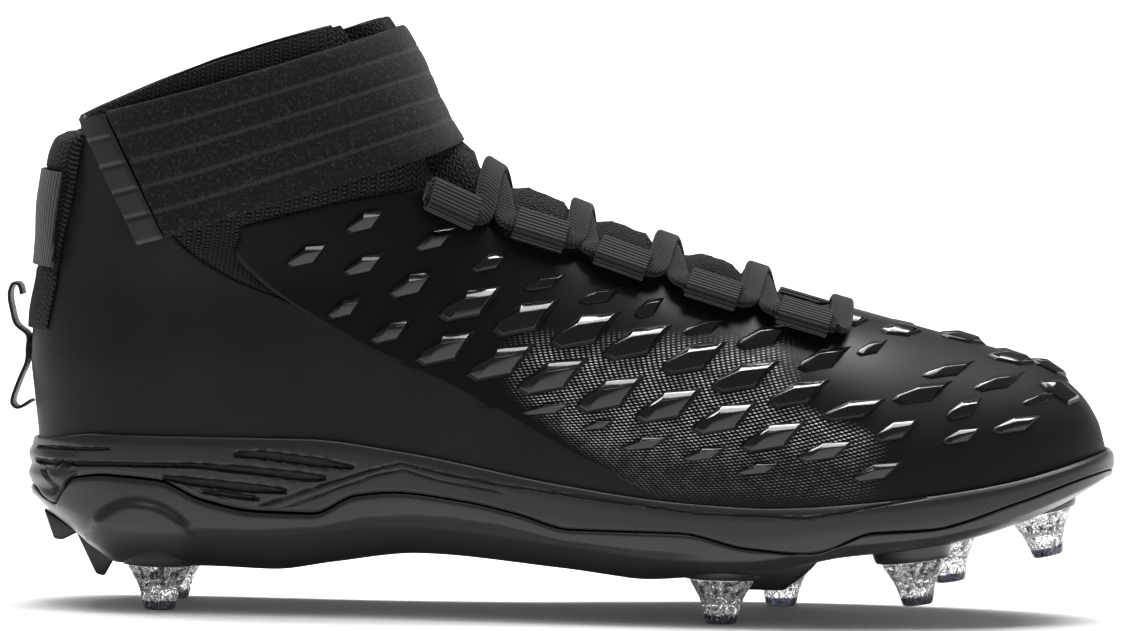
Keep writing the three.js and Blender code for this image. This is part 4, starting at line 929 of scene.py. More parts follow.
def bare_knit(x, z):
    """1 where the bootie shows, 0 where the heel panel or the shell lies on it."""
    past_quarter = smoothstep(x - quarter_x(z), 0, 2.2) + smoothstep(z, up_to(.775), up_to(.8))
    shelled = smoothstep(x - shell_x(np.minimum(z, up_to(.6))), -1.5, 0) * smoothstep(shell_top_z(x) - z, -1.5, 0)
    shelled = np.where(x > .36 * LENGTH, 1, shelled)
    return np.clip(past_quarter, 0, 1) * (1 - np.clip(shelled, 0, 1))


def build_upper():
    """The knit bootie: one wall, open at the collar and the throat and underneath."""
    rear, front = 72, 8
    levels = np.concatenate([[-.98, -.7, -.4, 0], np.linspace(0, THROAT_RING, 44)[1:],
                             np.linspace(THROAT_RING, COLLAR_RING, 44)[1:]])
    sides = {}
    for side in (-1, 1):
        edge = throat_place(levels, side)
        back = np.stack([along_ring(t, side, 0, e, np.linspace(0, 1, rear + 1)) for t, e in zip(levels, edge)])
        over = np.stack([along_ring(t, side, e, 1, np.linspace(0, 1, front + 1)) for t, e in zip(levels, edge)])
        sides[side] = np.concatenate([back, over[:, 1:]], 1)
    grid = np.concatenate([sides[-1], sides[1][:, 1:-1][:, ::-1]], 1)
    normals = grid_normals(grid, closed=True)
    x, z = grid[..., 0], grid[..., 2]
    puff = .25 * np.sin(z * .31) * np.sin(x * .21 + 1.3)
    collar = .3 * smoothstep(z - (grid[-1, :, 2][None] - 7), 0, 7)
    outer = lerp(-(SKIN + GAP), -.35 + puff + collar, bare_knit(x, z))
    index = np.arange(grid.shape[1])
    in_throat = (index >= rear) & (index < rear + 2 * front)
    keeps = ~((levels[:-1, None] >= THROAT_RING - 1e-6) & in_throat[None])
    piece = grid_piece("upper_knit", grid + normals * outer[..., None], keeps=keeps, wrap=True)
    piece.data.materials.append(look("knit"))
    piece.data.materials.append(look("lining"))
    thicken(piece, size("upper_wall"), rim=.8, segments=3, inner=True)
    smooth(piece, 60)
    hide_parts("upper")
    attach(piece, "root")


def build_quarter():
    """The matte panel round the heel, one sheet from side to side."""
    columns, rows = 90, 64
    along = np.linspace(0, 1, columns)
    spread = .55 * (1 - np.cos(along * math.pi / 2)) + .45 * along
    up = np.linspace(0, 1, rows)[:, None]
    top = up_to(.78) - .15
    z = lerp(feather_z(0) - 4, top, up) * np.ones_like(along)
    for _ in range(25):
        x = lerp(heel_x(z), quarter_x(z) - GAP / 2, spread)
        z = lerp(feather_z(x) - 3.5, top, up)
    lateral, medial = (on_surface(x, z, side) for side in (-1, 1))
    grid = np.concatenate([lateral[:, ::-1], medial[:, 1:]], 1)
    inward_normals = grid_normals(grid)
    edge = arc_lengths(grid, 1)
    near = np.minimum(edge, edge[:, -1:] - edge)
    drop = .3 * (1 - smoothstep(near, 0, 1.0))
    piece = grid_piece("heel_quarter_panel", grid + inward_normals * drop[..., None])
    clean_up(piece)
    thicken(piece, size("panel_thickness"), rim=.2)
    smooth(piece)
    settle(piece, "matte_panel", ["heel_quarter"], look("matte"))


def facet_gem():
    """One facet in its own frame, modelled once: a steep rim, a roof of six faces over it, and a skirt below."""
    top = size("facet_height")
    middle = Vector((-1, 0, 0))
    rim_low, rim_high = FACET_RIM
    outline = [Vector((u, v, rim_low)) for u, v in FACET_OUTLINE]
    eaves = [middle.lerp(Vector((u, v, 0)), .85) + Vector((0, 0, rim_high)) for u, v in FACET_OUTLINE]
    ridge = [Vector((u, v, h)) for (u, v), h in zip(FACET_RIDGE, (top, top * .91))]
    skirt = [Vector((u * 1.05, v * 1.07, -FACET_SINK)) for u, v in FACET_OUTLINE]
    build = bmesh.new()
    vertices = [build.verts.new(p) for p in eaves + ridge + outline + skirt]
    for face in FACET_FACES:
        build.faces.new([vertices[k] for k in face])
    for low, high in ((8, 0), (14, 8)):
        for k in range(6):
            n = (k + 1) % 6
            build.faces.new([vertices[low + k], vertices[low + n], vertices[high + n], vertices[high + k]])
    build.faces.new([vertices[14 + k] for k in reversed(range(6))])
    bmesh.ops.recalc_face_normals(build, faces=build.faces)
    crown = [e for e in build.edges if all(v.co.z > .5 for v in e.verts)]
    bmesh.ops.bevel(build, geom=crown, offset=.26, segments=2, profile=.5, affect="EDGES", clamp_overlap=True)
    points = np.array([v.co for v in build.verts])
    build.verts.index_update()
    faces = [[v.index for v in f.verts] for f in build.faces]
    roof = [f.calc_center_median().z > rim_high - .1 for f in build.faces]
    build.free()
    return points, faces, roof


def facets_piece():
    """All the raised facets as one mesh, and which of its faces are glossy."""
    gem, gem_faces, gem_roof = facet_gem()
    points, faces = [], []

    def add_facet(base, out, tall, side):
        first = len(points) * len(gem)
        rise = np.where(gem[:, 2] > 0, gem[:, 2] * tall, gem[:, 2])
        points.append(base + out * rise[:, None])
        faces.extend([first + k for k in (f if side < 0 else f[::-1])] for f in gem_faces)

    for side in (-1, 1):
        for x, reach, long, wide in TOP_FACETS:
            u = x + gem[:, 0] * long / FACET_SIZE[0]
            y = middle_y(u) + side * (reach - gem[:, 1] * wide / FACET_SIZE[1])
            add_facet(np.stack([u, y, top_z(u, y)], -1), top_normal(u, y), .75, side)
        for x, z, long, high in FACETS:
            flatter_at_toe = 1 - .25 * smoothstep(x, 215, 250)
            tall = min(1.0, high / FACET_SIZE[1] + .12) * flatter_at_toe
            u = x + gem[:, 0] * long / FACET_SIZE[0]
            v = z + gem[:, 1] * high / FACET_SIZE[1]
            v = np.minimum(v, ridge_z(np.clip(u, 0, LENGTH)) - 1.2)
            out = side_normal(np.array([x]), np.array([z]), side)[0]
            add_facet(on_surface(u, v, side), unit(side_normal(u, v, side) + out), tall, side)
    mesh = bpy.data.meshes.new("facets")
    mesh.from_pydata([tuple(p) for p in metres(np.concatenate(points))], [], faces)
    for key in ("dots", "satin", "toe"):
        mesh.attributes.new(key, "FLOAT", "POINT")
    uv = mesh.uv_layers.new(name="UVMap")
    uv.data.foreach_set("uv", np.zeros(len(mesh.loops) * 2))
    piece = bpy.data.objects.new("facets", mesh)
    bpy.context.scene.collection.objects.link(piece)
    return piece, gem_roof * len(points)


def cut_at_top(flap):
    """Draws each column of a flap back to the shell's upper edge."""
    last = len(flap) - 1
    past = flap[..., 2] - (shell_top_z(flap[..., 0]) - GAP / 2)
    rows = np.arange(len(flap))
    drawn = flap.copy()
    for j in np.flatnonzero((past > 0).any(axis=0)):
        i = int(np.clip(np.argmax(past[:, j] > 0), 1, last))
        before, after = past[i - 1, j], past[i, j]
        end = i - 1 + before / min(before - after, -1e-6) if before < 0 else i - 1
        at = np.linspace(0, float(np.clip(end, 1, last)), len(flap))
        drawn[:, j] = np.stack([np.interp(at, rows, flap[:, j, k]) for k in range(3)], -1)
    return drawn


def behind_shell(x, z):
    return x < shell_x(np.minimum(z, up_to(.6))) + GAP / 2


def dotted(x, z):
    """1 where the shell's ground is woven with dots, fading out toward the zone's edges."""
    front = 214 + 24 * smoothstep(z, 64, 52)
    along = smoothstep(x, 128, 142) * smoothstep(x, front, front - 13)
    upward = smoothstep(z, 82, 72) * smoothstep(z, 34, 40) * lerp(.15, 1, smoothstep(z, 43, 55))
    return along * upward * smoothstep((x - 138) * .75 + (z - 62), -5, 3)


def beside_throat(x, z):
    """1 on the shell's satin strip beside the throat."""
    return smoothstep(z - (ridge_z(x) - 19), 0, 12) * smoothstep(x, 225, 205)


def build_shell():
    """The glossy moulded panel over forefoot and instep, with its facets."""
    rear, front = 96, 8
    low = np.concatenate([[-.4, -.1], np.linspace(0, THROAT_RING, 64)])
    high = np.linspace(THROAT_RING, 8, 30)[1:]
    levels = np.concatenate([low, high])
    first_high = len(low) - 1
    start = place_on_ring(levels, behind_shell)
    halves = {}
    for side in (-1, 1):
        edge = throat_place(levels, side)
        shares = np.linspace(0, 1, rear + 1)
        body = [along_ring(t, side, a, b, shares) for t, a, b in zip(levels, start, edge)]
        over = [along_ring(t, side, b, 1, np.linspace(0, 1, front + 1)) for t, b in zip(levels, edge)]
        half = np.concatenate([np.stack(body), np.stack(over)[:, 1:]], 1)
        half[first_high:, : rear + 1] = cut_at_top(half[first_high:, : rear + 1])
        halves[side] = half
    grid = np.concatenate([halves[-1], halves[1][:, :-1][:, ::-1]], 1)
    normals = grid_normals(grid)
    x, z = grid[..., 0], grid[..., 2]
    count = grid.shape[1]
    index = np.arange(count - 1)
    keeps = np.ones((len(levels) - 1, count - 1), bool)
    keeps[first_high:, (index >= rear) & (index < count - 1 - rear)] = False
    arc = arc_lengths(grid, 1)
    near = np.minimum(arc, arc[:, -1:] - arc)
    drop = .35 * (1 - smoothstep(near, 0, 1.1))
    uv = np.stack([near, arc_lengths(grid, 0)], -1)
    attributes = {"dots": dotted(x, z), "satin": beside_throat(x, z), "toe": smoothstep(x, 220, 250)}
    piece = grid_piece("faceted_shell_base", grid - normals * drop[..., None], uv=uv, attributes=attributes,
                       keeps=keeps)
    thicken(piece, size("panel_thickness"), rim=.25)
    smooth(piece)
    facets, glossy = facets_piece()
    smooth(facets, 20)
    base_faces = len(piece.data.polygons)
    piece = joined("faceted_shell_panel", [piece, facets])
    settle(piece, "gloss_panel", ["faceted_shell"], look("shell"), look("facet"))
    index = np.concatenate([np.zeros(base_faces), glossy]).astype(np.int32)
    piece.data.polygons.foreach_set("material_index", index)


def build_tongue():
    """The padded tongue under the throat's edges, swelling up between them."""
    levels = np.linspace(*TONGUE_ROWS, 90)
    halves = {}
    inner = 15
    for side in (-1, 1):
        rows = []
        edge = throat_place(levels, side)
        for t, e in zip(levels, edge):
            reach = 7 / (LENGTH * ring_front(t) - heel_x(up_to(ring_heel(t))))
            under = along_ring(t, side, e - reach, e, np.linspace(0, 1, 5))
            rows.append(np.concatenate([under[:-1], along_ring(t, side, e, 1, np.linspace(0, 1, inner + 1))]))
        halves[side] = np.stack(rows)
    grid = np.concatenate([halves[-1], halves[1][:, :-1][:, ::-1]], 1)
    normals = grid_normals(grid)
    half = grid.shape[1] // 2
    inside = (half - np.abs(np.arange(grid.shape[1]) - half) - 4) / inner
    swell = smoothstep(inside, -.05, .55)[None] * smoothstep(levels, THROAT_RING + .1, THROAT_RING + 1)[:, None]
    x, y = grid[..., 0], grid[..., 1]
    between = np.zeros_like(x)
    for loop_x, _ in LOOPS:
        between = np.maximum(between, smoothstep(np.abs(x - loop_x * LENGTH - 1.5), 9.5, 4.5))
    between = np.maximum(between, smoothstep(x, 112, 100) * .5)
    rumple = .5 * np.sin(x * .9 + 1.1 * np.sin(y * .55)) * np.sin(y * .8)
    rise = (size("tongue_puff") + rumple) * between * swell * np.clip(inside * 2 - .3, 0, 1)[None]
    under_edges = -(SKIN + GAP) - WALL - 3 * GAP
    outer = lerp(under_edges, -1.0, swell) + rise
    piece = grid_piece("tongue_padded", grid + normals * outer[..., None])
    thicken(piece, TONGUE_THICK, rim=.9, segments=3)
    smooth(piece, 60)
    settle(piece, "knit", ["tongue"], look("tongue"))


def ridge_x(z):
    z = np.asarray(z, float)
    return LENGTH * solve(lambda share: ridge_z(share * LENGTH) > z, z.shape)


def strap_grid(turns, across):
    """Points under the strap: turns from -1 (outer rear end) over 0 (front) to 1, across from low to high edge."""
    turns = np.asarray(turns, float)[None]
    across = np.asarray(across, float)[:, None]
    rear_x, rear_z, front_z = (lerp(a, b, across) for a, b in zip(STRAP_LOWER, STRAP_UPPER))
    rear_x, rear_z, front_z = rear_x * LENGTH, up_to(rear_z), up_to(front_z)
    share = (1 - np.cos(math.pi * (1 - np.abs(turns)))) / 2
    z = lerp(rear_z, front_z, share)
    x = np.minimum(lerp(rear_x, ridge_x(front_z), share), ridge_x(z))
    side = np.where(turns < 0, -1, 1) * np.ones_like(z)
    return on_surface(x, z, side)


def strap_turn(reach):
    """The turn of the strap at that reach from its outer rear end."""
    whole = ridge_x(up_to(STRAP_LOWER[2])) - STRAP_LOWER[0] * LENGTH
    return float(math.acos(1 - 2 * reach / whole) / math.pi - 1)


def build_strap():
    """The ribbed elastic strap round the collar and the rubber grip tab at its end."""
    first = strap_turn(STRAP_TAB + GAP)
    turns = np.linspace(first, STRAP_END, 170)
    across = np.linspace(0, 1, 61)
    grid = strap_grid(turns, across)
    normals = grid_normals(grid)
    ribs = across * STRAP_RIBS
    inside = np.abs(ribs - np.rint(ribs))
    pillow = size("strap_pillow") * (1 - (1 - np.clip(inside * 2.6, 0, 1)) ** 3)
    welt = size("strap_seam") * np.exp(-(inside / .045) ** 2) * ((across > .05) & (across < .95))
    outer = (STRAP_LIFT + STRAP_THICK - .45 + pillow + welt)[:, None]
    seams = np.exp(-(inside / .05) ** 2) * ((across > .05) & (across < .98))
    wobble = .12 * np.sin(turns * 37)[None] * np.sin(across * 9)[:, None]
    uv = np.stack([arc_lengths(grid, 1), arc_lengths(grid, 0)], -1)
    strap = grid_piece("ankle_strap_elastic", grid + normals * (outer + wobble)[..., None], uv=uv,
                       attributes={"seam": seams[:, None] * np.ones(len(turns))[None]})
    thicken(strap, STRAP_THICK - .3, rim=.45)
    smooth(strap, 60)
    settle(strap, "strap_elastic", ["ankle_strap"], look("strap"))

    turns = np.linspace(-1, strap_turn(STRAP_TAB), 14)
    across = np.linspace(0, .975, 81)
    grid = strap_grid(turns, across)
    normals = grid_normals(grid)
    blocks = across * STRAP_RIBS
    step = smoothstep(np.abs(blocks - np.rint(blocks)), .0, .13) * .3
    span = np.linspace(0, 1, len(turns))
    border = smoothstep(span, .02, .16) * smoothstep(span, 1, .93)
    outer = STRAP_LIFT + GRIP_THICK - .6 + step[:, None] * border[None]
    grip = grid_piece("strap_grip", grid + normals * outer[..., None])
    thicken(grip, GRIP_THICK - .6, rim=.3)
    smooth(grip, 35)
    settle(grip, "grip", ["strap_grip_tab"], look("grip"))


def heel_patch(shares, half, count):
    """Points on the heel's back, rows by height, columns across; half is the reach to either side at each row."""
    y = np.linspace(-1, 1, count)[None] * np.broadcast_to(half, (len(shares),))[:, None]
    z = up_to(np.asarray(shares))[:, None] * np.ones_like(y)
    side = np.where(y < 0, -1, 1)
    back = heel_x(z)
    s = solve(lambda u: half_width(back + u * 30, z, side) < np.abs(y), y.shape)
    return np.stack([back + s * 30, y, z], -1)


def tab_reach(shares):
    return TAB_HALF_WIDTH + 3.5 * smoothstep(shares, .6, .45)


def build_tab():
    """The knit pull tab, drawn in where its sleeve holds it."""
    shares = np.linspace(PULL_TAB[0][0], PULL_TAB[-1][0], 60)
    across = np.linspace(-1, 1, TAB_COLUMNS)
    grid = heel_patch(shares, tab_reach(shares), TAB_COLUMNS)
    normals = -grid_normals(grid)
    roundness = 1 - .35 * np.abs(across) ** 3 - .25 * np.abs(across) ** 12
    held = smoothstep(shares, SLEEVE[0] - .008, SLEEVE[0] + .004) * smoothstep(
        shares, SLEEVE[1] + .008, SLEEVE[1] - .004)
    depth = GAP + (tab_depth(shares) * TAB_DEPTH)[:, None] * roundness[None] - .85 * held[:, None]
    depth = np.maximum(depth, GAP + .6)
    uv = grid[..., 1:]
    front = grid_piece("pull_tab_knit", grid + normals * depth[..., None], uv=uv)
    back = grid_piece("pull_tab_back", grid + normals * GAP, uv=uv)
    back.data.flip_normals()
    tab = joined("pull_tab_knit", [front, back])
    build = bmesh.new()
    build.from_mesh(tab.data)
    bmesh.ops.bridge_loops(build, edges=[e for e in build.edges if e.is_boundary])
    bmesh.ops.recalc_face_normals(build, faces=build.faces)
    build.to_mesh(tab.data)
    build.free()
    add_modifier(tab, "BEVEL", limit_method="ANGLE", angle_limit=math.radians(55), width=.0007, segments=3)
    smooth(tab, 60)
    settle(tab, "knit", ["pull_tab"], look("braid"))


def build_sleeve():
    """The woven sleeve round the pull tab."""
    shares = np.linspace(*SLEEVE, 40)
    grid = heel_patch(shares, tab_reach(shares) + .3, TAB_COLUMNS)
    roundness = 1 - .35 * np.abs(np.linspace(-1, 1, TAB_COLUMNS)) ** 3
    lift = GAP + (tab_depth(shares) * TAB_DEPTH)[:, None] * roundness[None] + .35
    sleeve = grid_piece("pull_tab_sleeve_woven", grid - grid_normals(grid) * lift[..., None], uv=grid[..., 1:])
    thicken(sleeve, .9, rim=.3)
    smooth(sleeve, 50)
    settle(sleeve, "webbing", ["pull_tab_sleeve"], look("sleeve"))


def build_ribbon():
    """The narrow ribbon in bights down the heel, from under the pull tab to the foam."""
    points = []
    for out, share in RIBBON:
        height = up_to(share)
        cover = max(0, float(tab_depth(share) * TAB_DEPTH)) if share > PULL_TAB[0][0] else 0
        out -= .6 * (1 - float(smoothstep(out, 1.3, 2.4)))
        points.append((float(heel_x(height)) - out - cover - RIBBON_THICK / 2, 0, height))
    path = catmull(np.array(points), 8)
    tangent = unit(np.gradient(path, axis=0))
    outward = np.stack([-tangent[:, 2], np.zeros(len(path)), tangent[:, 0]], -1)
    section = flat_section(RIBBON_WIDTH, RIBBON_THICK, 6)
    turned = np.array([math.sin(RIBBON_TURN), math.cos(RIBBON_TURN), 0])
    rings = path[:, None] + section[None, :, :1] * turned + section[None, :, 1:] * outward[:, None]
    ribbon = tube_piece("heel_ribbon_bights", rings)
    smooth(ribbon, 50)
    settle(ribbon, "webbing", ["heel_ribbon"], look("ribbon"))


def catmull(points, steps):
    """A smooth path through points."""
    padded = np.concatenate([[2 * points[0] - points[1]], points, [2 * points[-1] - points[-2]]])
    out = []
    for i in range(1, len(padded) - 2):
        p0, p1, p2, p3 = padded[i - 1: i + 3]
        for u in np.arange(steps) / steps:
            out.append(.5 * (2 * p1 + (p2 - p0) * u + (2 * p0 - 5 * p1 + 4 * p2 - p3) * u ** 2
                             + (3 * p1 - p0 - 3 * p2 + p3) * u ** 3))
    out.append(points[-1])
    return np.array(out)


def flat_section(wide, thick, corner):
    """Outline of a flat band with rounded edges: offsets across and through."""
    half, radius = wide / 2 - thick / 2, thick / 2
    right_turn = np.linspace(-math.pi / 2, math.pi / 2, corner)
    left_turn = np.linspace(math.pi / 2, 3 * math.pi / 2, corner)
    right = [(half + radius * math.cos(a), radius * math.sin(a)) for a in right_turn]
    left = [(-half + radius * math.cos(a), radius * math.sin(a)) for a in left_turn]
    across = np.linspace(half, -half, 5)[1:-1]
    top = [(v, radius) for v in across]
    bottom = [(-v, -radius) for v in across]
    return np.array(right + top + left + bottom)


def loop_frame(k, side):
    """A loop's middle over the shell, and its forward, down and out directions."""
    x, z = np.array(LOOPS).T
    x, z = x * LENGTH, up_to(z)
    spots = on_surface(x, z, side)
    origin, out = spots[k], side_normal(x[k], z[k], side)
    forward = spots[min(k + 1, len(LOOPS) - 1)] - spots[max(k - 1, 0)]
    forward = unit(forward - out * (forward @ out))
    down = unit(np.cross(forward, out) * -side)
    return origin + out * (LOOP_STAND_OFF + LOOP_HEIGHT / 2), forward, down, out


def build_loops():
    """Ribbed webbing loops: a flat tube of tape, modelled once and copied to each place."""
    outer = flat_section(LOOP_DEPTH, LOOP_HEIGHT, 13)
    walls = 2 * size("webbing_thickness")
    inner = flat_section(LOOP_DEPTH - walls, LOOP_HEIGHT - walls, 13)
    stations = np.array([-1, -.98, -.6, -.2, .2, .6, .98, 1]) * LOOP_WIDTH / 2
    ease = np.array([.25, 0, 0, 0, 0, 0, 0, .25])
    rings = [(at, outer * (1 - tuck * .06)) for at, tuck in zip(stations, ease)]
    rings += [(at, inner * (1 + tuck * .1)) for at, tuck in zip(stations[::-1], ease)]
    rings.append(rings[0])
    perimeter = arc_along(np.concatenate([outer, outer[:1]]))
    along, down, out = np.eye(3)
    grid = np.stack([along * at + section[:, :1] * down + section[:, 1:] * out for at, section in rings])
    uv = np.stack(np.meshgrid(perimeter, [at for at, _ in rings]), -1)
    master = grid_piece("webbing_loop", grid - SHIFT, uv=uv, wrap=True)
    clean_up(master)
    for side, word in ((-1, "lateral"), (1, "medial")):
        for k in range(len(LOOPS)):
            centre, forward, down, out = loop_frame(k, side)
            place = Matrix(np.stack([forward, down, out], -1).tolist()).to_4x4()
            piece = copy_to(master, f"webbing_loop_{word}_{k + 1}", Matrix.Translation(metres(centre)) @ place)
            smooth(piece, 50)
            settle(piece, "webbing", [f"lace_loop_{word}_{k + 1}"], look("webbing"))
    remove(master)


def lace_end(k, side, sign, overlap=0.0):
    centre, forward, _, out = loop_frame(k, side)
    reach = sign * (LOOP_WIDTH / 2 + LACE_EXIT + overlap)
    return centre + forward * reach, forward * sign, out


def lace_across(start, end, lift, count=22):
    """Path over the tongue from one loop's mouth to the next one's, and its normals."""
    (p0, d0, n0), (p3, d3, n3) = start, end
    u = np.linspace(0, 1, count + 1)[:, None]
    p1, p2 = p0 + d0 * 4, p3 + d3 * 4
    straight = p0 * (1 - u) ** 3 + 3 * p1 * u * (1 - u) ** 2 + 3 * p2 * u ** 2 * (1 - u) + p3 * u ** 3
    x, y = straight[:, 0], straight[:, 1]
    top, up = top_z(x, y), top_normal(x, y)
    over = (straight[:, 2] - top) * up[:, 2]
    middle = np.sin(math.pi * u[:, 0])
    height = lerp(lerp(over[0], over[-1], u[:, 0]), lift, middle)
    laid = np.stack([x, y, top + height / up[:, 2]], -1)
    blend = ((1 - middle) ** 2)[:, None]
    weight = smoothstep(middle, 0, .35)[:, None]
    ends = np.where(u < .5, n0, n3)
    normals = unit(lerp(ends, up, weight))
    return lerp(laid, straight, blend), normals


def sweep_band(name, points, normals, wide, thick):
    """A flat band along a path."""
    tangent = unit(np.gradient(points, axis=0))
    across = unit(np.cross(normals, tangent))
    up = unit(np.cross(tangent, across))
    section = flat_section(wide, thick, 7)[None]
    taper = np.ones((len(points), 1, 1))
    taper[[0, -1]] = .9
    rings = (points[:, None] + section[..., :1] * across[:, None] * taper
             + section[..., 1:] * up[:, None] * taper)
    return tube_piece(name, rings)


def build_lace():
    """The flat lace: two strands crossing over the tongue from loop to loop, and the bar at the toe end."""
    under = size("lace_thickness") / 2 + GAP
    over = under + size("lace_thickness") * .9
    last = len(LOOPS) - 1
    pieces = []
    for first_side in (-1, 1):
        points, normals = [], []
        for k in range(len(LOOPS)):
            side = first_side if k % 2 == 0 else -first_side
            inside = [lace_end(k, side, -1, -LACE_EXIT), lace_end(k, side, 1, -LACE_EXIT)]
            if k == 0:
                inside.insert(0, lace_end(k, side, -1))
            for point, _, out in inside:
                points.append(point[None])
                normals.append(out[None])
            if k == last:
                point, _, out = lace_end(k, side, 1, .5)
                points.append(point[None])
                normals.append(out[None])
                break
            lift = over if (k % 2 == 0) == (first_side < 0) else under
            path, up = lace_across(lace_end(k, side, 1), lace_end(k + 1, -side, -1), lift)
            points.append(path)
            normals.append(up)
        path, up = refined(np.concatenate(points), np.concatenate(normals))
        pieces.append(sweep_band("lace_strand", path, up, size("lace_width"), size("lace_thickness")))
    path, up = lace_across(lace_end(last, -1, 1), lace_end(last, 1, 1), under)
    path, up = refined(path, up)
    pieces.append(sweep_band("lace_bar", path, up, size("lace_width"), size("lace_thickness")))
    lace = joined("lace_flat", pieces)
    smooth(lace, 50)
    settle(lace, "lace_cord", ["lace"], look("lace"))


def refined(points, normals, step=1.1):
    """The same path with even steps and its corners eased."""
    arc = arc_along(points)
    keep = np.concatenate([[True], np.diff(arc) > 1e-6])
    arc, points, normals = arc[keep], points[keep], normals[keep]
    at = np.linspace(0, arc[-1], int(arc[-1] / step) + 2)
    path = np.stack([np.interp(at, arc, points[:, k]) for k in range(3)], -1)
    up = unit(np.stack([np.interp(at, arc, normals[:, k]) for k in range(3)], -1))
    for _ in range(2):
        path[1:-1] = (path[:-2] + 2 * path[1:-1] + path[2:]) / 4
        up[1:-1] = unit(up[:-2] + 2 * up[1:-1] + up[2:])
    return path, up


def sole_outline(count):
    """Even points round the sole's plan at the feather line, and their outward normals."""
    s = (1 - np.cos(np.linspace(0, math.pi, 1500))) / 2 * LENGTH
    lateral = np.stack([s, middle_y(s) - plan_width(s, -1, 0)], -1)
    medial = np.stack([s, middle_y(s) + plan_width(s, 1, 0)], -1)[1:-1][::-1]
    loop = np.concatenate([lateral, medial, lateral[:1]])
    arc = arc_along(loop)
    tip = arc[len(lateral) - 1]
    half = count // 2
    at = np.concatenate([np.linspace(0, tip, half + 1), np.linspace(tip, arc[-1], half + 1)[1:-1]])
    points = np.stack([np.interp(at, arc, loop[:, k]) for k in range(2)], -1)
    ahead = np.roll(points, -1, 0) - np.roll(points, 1, 0)
    normals = unit(np.stack([ahead[:, 1], -ahead[:, 0]], -1))
    return points, normals


def sole_points(outline, level, outset):
    points, normals = outline
    xy = points + normals * np.asarray(outset)[..., None]
    inside = np.clip(xy[..., 0], 0, LENGTH)
    z = lerp(plate_bottom_z(inside), feather_z(inside), level)
    return np.concatenate([xy, z[..., None]], -1)


def inward(ring, share):
    """A ring round the sole, drawn in by that share toward its middle line."""
    across = -np.arange(len(ring)) % len(ring)
    return lerp(ring, (ring + ring[across]) / 2, share)


def groove_share(x, z, rows):
    """Distance to a groove's middle line over its half width there."""
    best = np.full(np.shape(x), 1e9)
    for (x0, z0, w0), (x1, z1, w1) in zip(rows[:-1], rows[1:]):
        dx, dz = x1 - x0, z1 - z0
        u = np.clip(((x - x0) * dx + (z - z0) * dz) / (dx * dx + dz * dz), 0, 1)
        best = np.minimum(best, np.hypot(x - x0 - u * dx, z - z0 - u * dz) / lerp(w0, w1, u))
    return best


def groove_depth(x, z):
    """Depth of the grooves at places of the side view, and the painted shade that darkens them."""
    depth, shade = np.zeros(np.shape(x)), np.zeros(np.shape(x))
    for rows, deep in GROOVES:
        share = groove_share(x, z, rows)
        inside = 1 - smoothstep(share, .75, 1.35)
        lip = .18 * np.exp(-((share - 1.75) / .4) ** 2)
        deep = deep * bpy.context.scene.cleat_sizes.groove_depth
        depth = np.where(inside * deep > depth, inside * deep, depth - lip * (inside < .05))
        # Painted shade fills each groove to its edges.
        shade = np.maximum(shade, inside)
    return depth, shade


def parting_level(x):
    inside = np.clip(x, 0, LENGTH)
    bottom, top = plate_bottom_z(inside), feather_z(inside)
    return (parting_z(inside) - bottom) / (top - bottom)


def heel_bumps(x, z):
    """Rounded ribs of the foam round the heel's back."""
    near = 1 - smoothstep(x, 4, 16)
    return near * .7 * (.5 - .5 * np.cos((z - 33.5) / 5.6 * 2 * math.pi)) - near * .35


def build_midsole():
    """The foam cup: grooved sidewall, welt under the feather line, inner wall against the upper."""
    outline = sole_outline(640)
    points = outline[0]
    start = parting_level(points[:, 0]) + .012
    rings, painted_shades = [], []
    for f in np.linspace(0, 1, 44):
        level = lerp(start, 1, f)
        outset = sidewall(level)
        flat = sole_points(outline, level, outset)
        depth, shade = groove_depth(flat[:, 0], flat[:, 2])
        edge = .5 * (1 - smoothstep((level - start) * 30, 0, .8)) if f < .5 else 0
        back = heel_bumps(flat[:, 0], flat[:, 2])
        rings.append(sole_points(outline, level, outset - depth - edge + back))
        # Painted shade for the grooves of this ring.
        painted_shades.append(shade)
    for outset, rise in ((1.2, .35), (.75, .45), (.35, .2)):
        ring = sole_points(outline, 1.0, np.full(len(points), outset))
        ring[:, 2] += rise
        rings.append(ring)
    for down in (3.0, 6.5):
        ring = sole_points(outline, 1.0, np.full(len(points), .3 - down * .22))
        ring[:, 2] -= down
        rings.append(ring)
    low = sole_points(outline, start, np.full(len(points), -2.4))
    low[:, 2] = np.minimum(low[:, 2], rings[-1][:, 2] - .4)
    rings += [low, rings[0]]
    painted_shades += [np.zeros(len(points))] * (len(rings) - len(painted_shades))
    painted_shades = np.stack(painted_shades)
    piece = grid_piece("midsole_foam", np.stack(rings), wrap=True,
                       attributes={"shade": np.concatenate([painted_shades, painted_shades[:, :1]], 1)})
    clean_up(piece)
    smooth(piece, 45)
    settle(piece, "foam", ["midsole"], look("foam"))


def turned_piece(name, profile, turns):
    """A body turned round the z axis: a filled circle extruded up and scaled from ring to ring, in millimetres."""
    bpy.ops.object.select_all(action="DESELECT")
    radius, height = profile[0]
    bpy.ops.mesh.primitive_circle_add(vertices=turns, radius=radius * .001, location=(0, 0, height * .001),
                                      fill_type="NGON", calc_uvs=True)
    piece = bpy.context.object
    piece.name = piece.data.name = name
    bpy.ops.object.transform_apply(location=True, rotation=True, scale=True)
    bpy.ops.object.mode_set(mode="EDIT")
    bpy.ops.mesh.select_all(action="SELECT")
    for (radius, height), (next_radius, next_height) in zip(profile, profile[1:]):
        bpy.ops.mesh.extrude_region_move(TRANSFORM_OT_translate={"value": (0, 0, (next_height - height) * .001)})
        grow = next_radius / radius
        bpy.ops.transform.resize(value=(grow, grow, 1), center_override=(0, 0, 0))
    bpy.ops.object.mode_set(mode="OBJECT")
    clean_up(piece)
    return piece


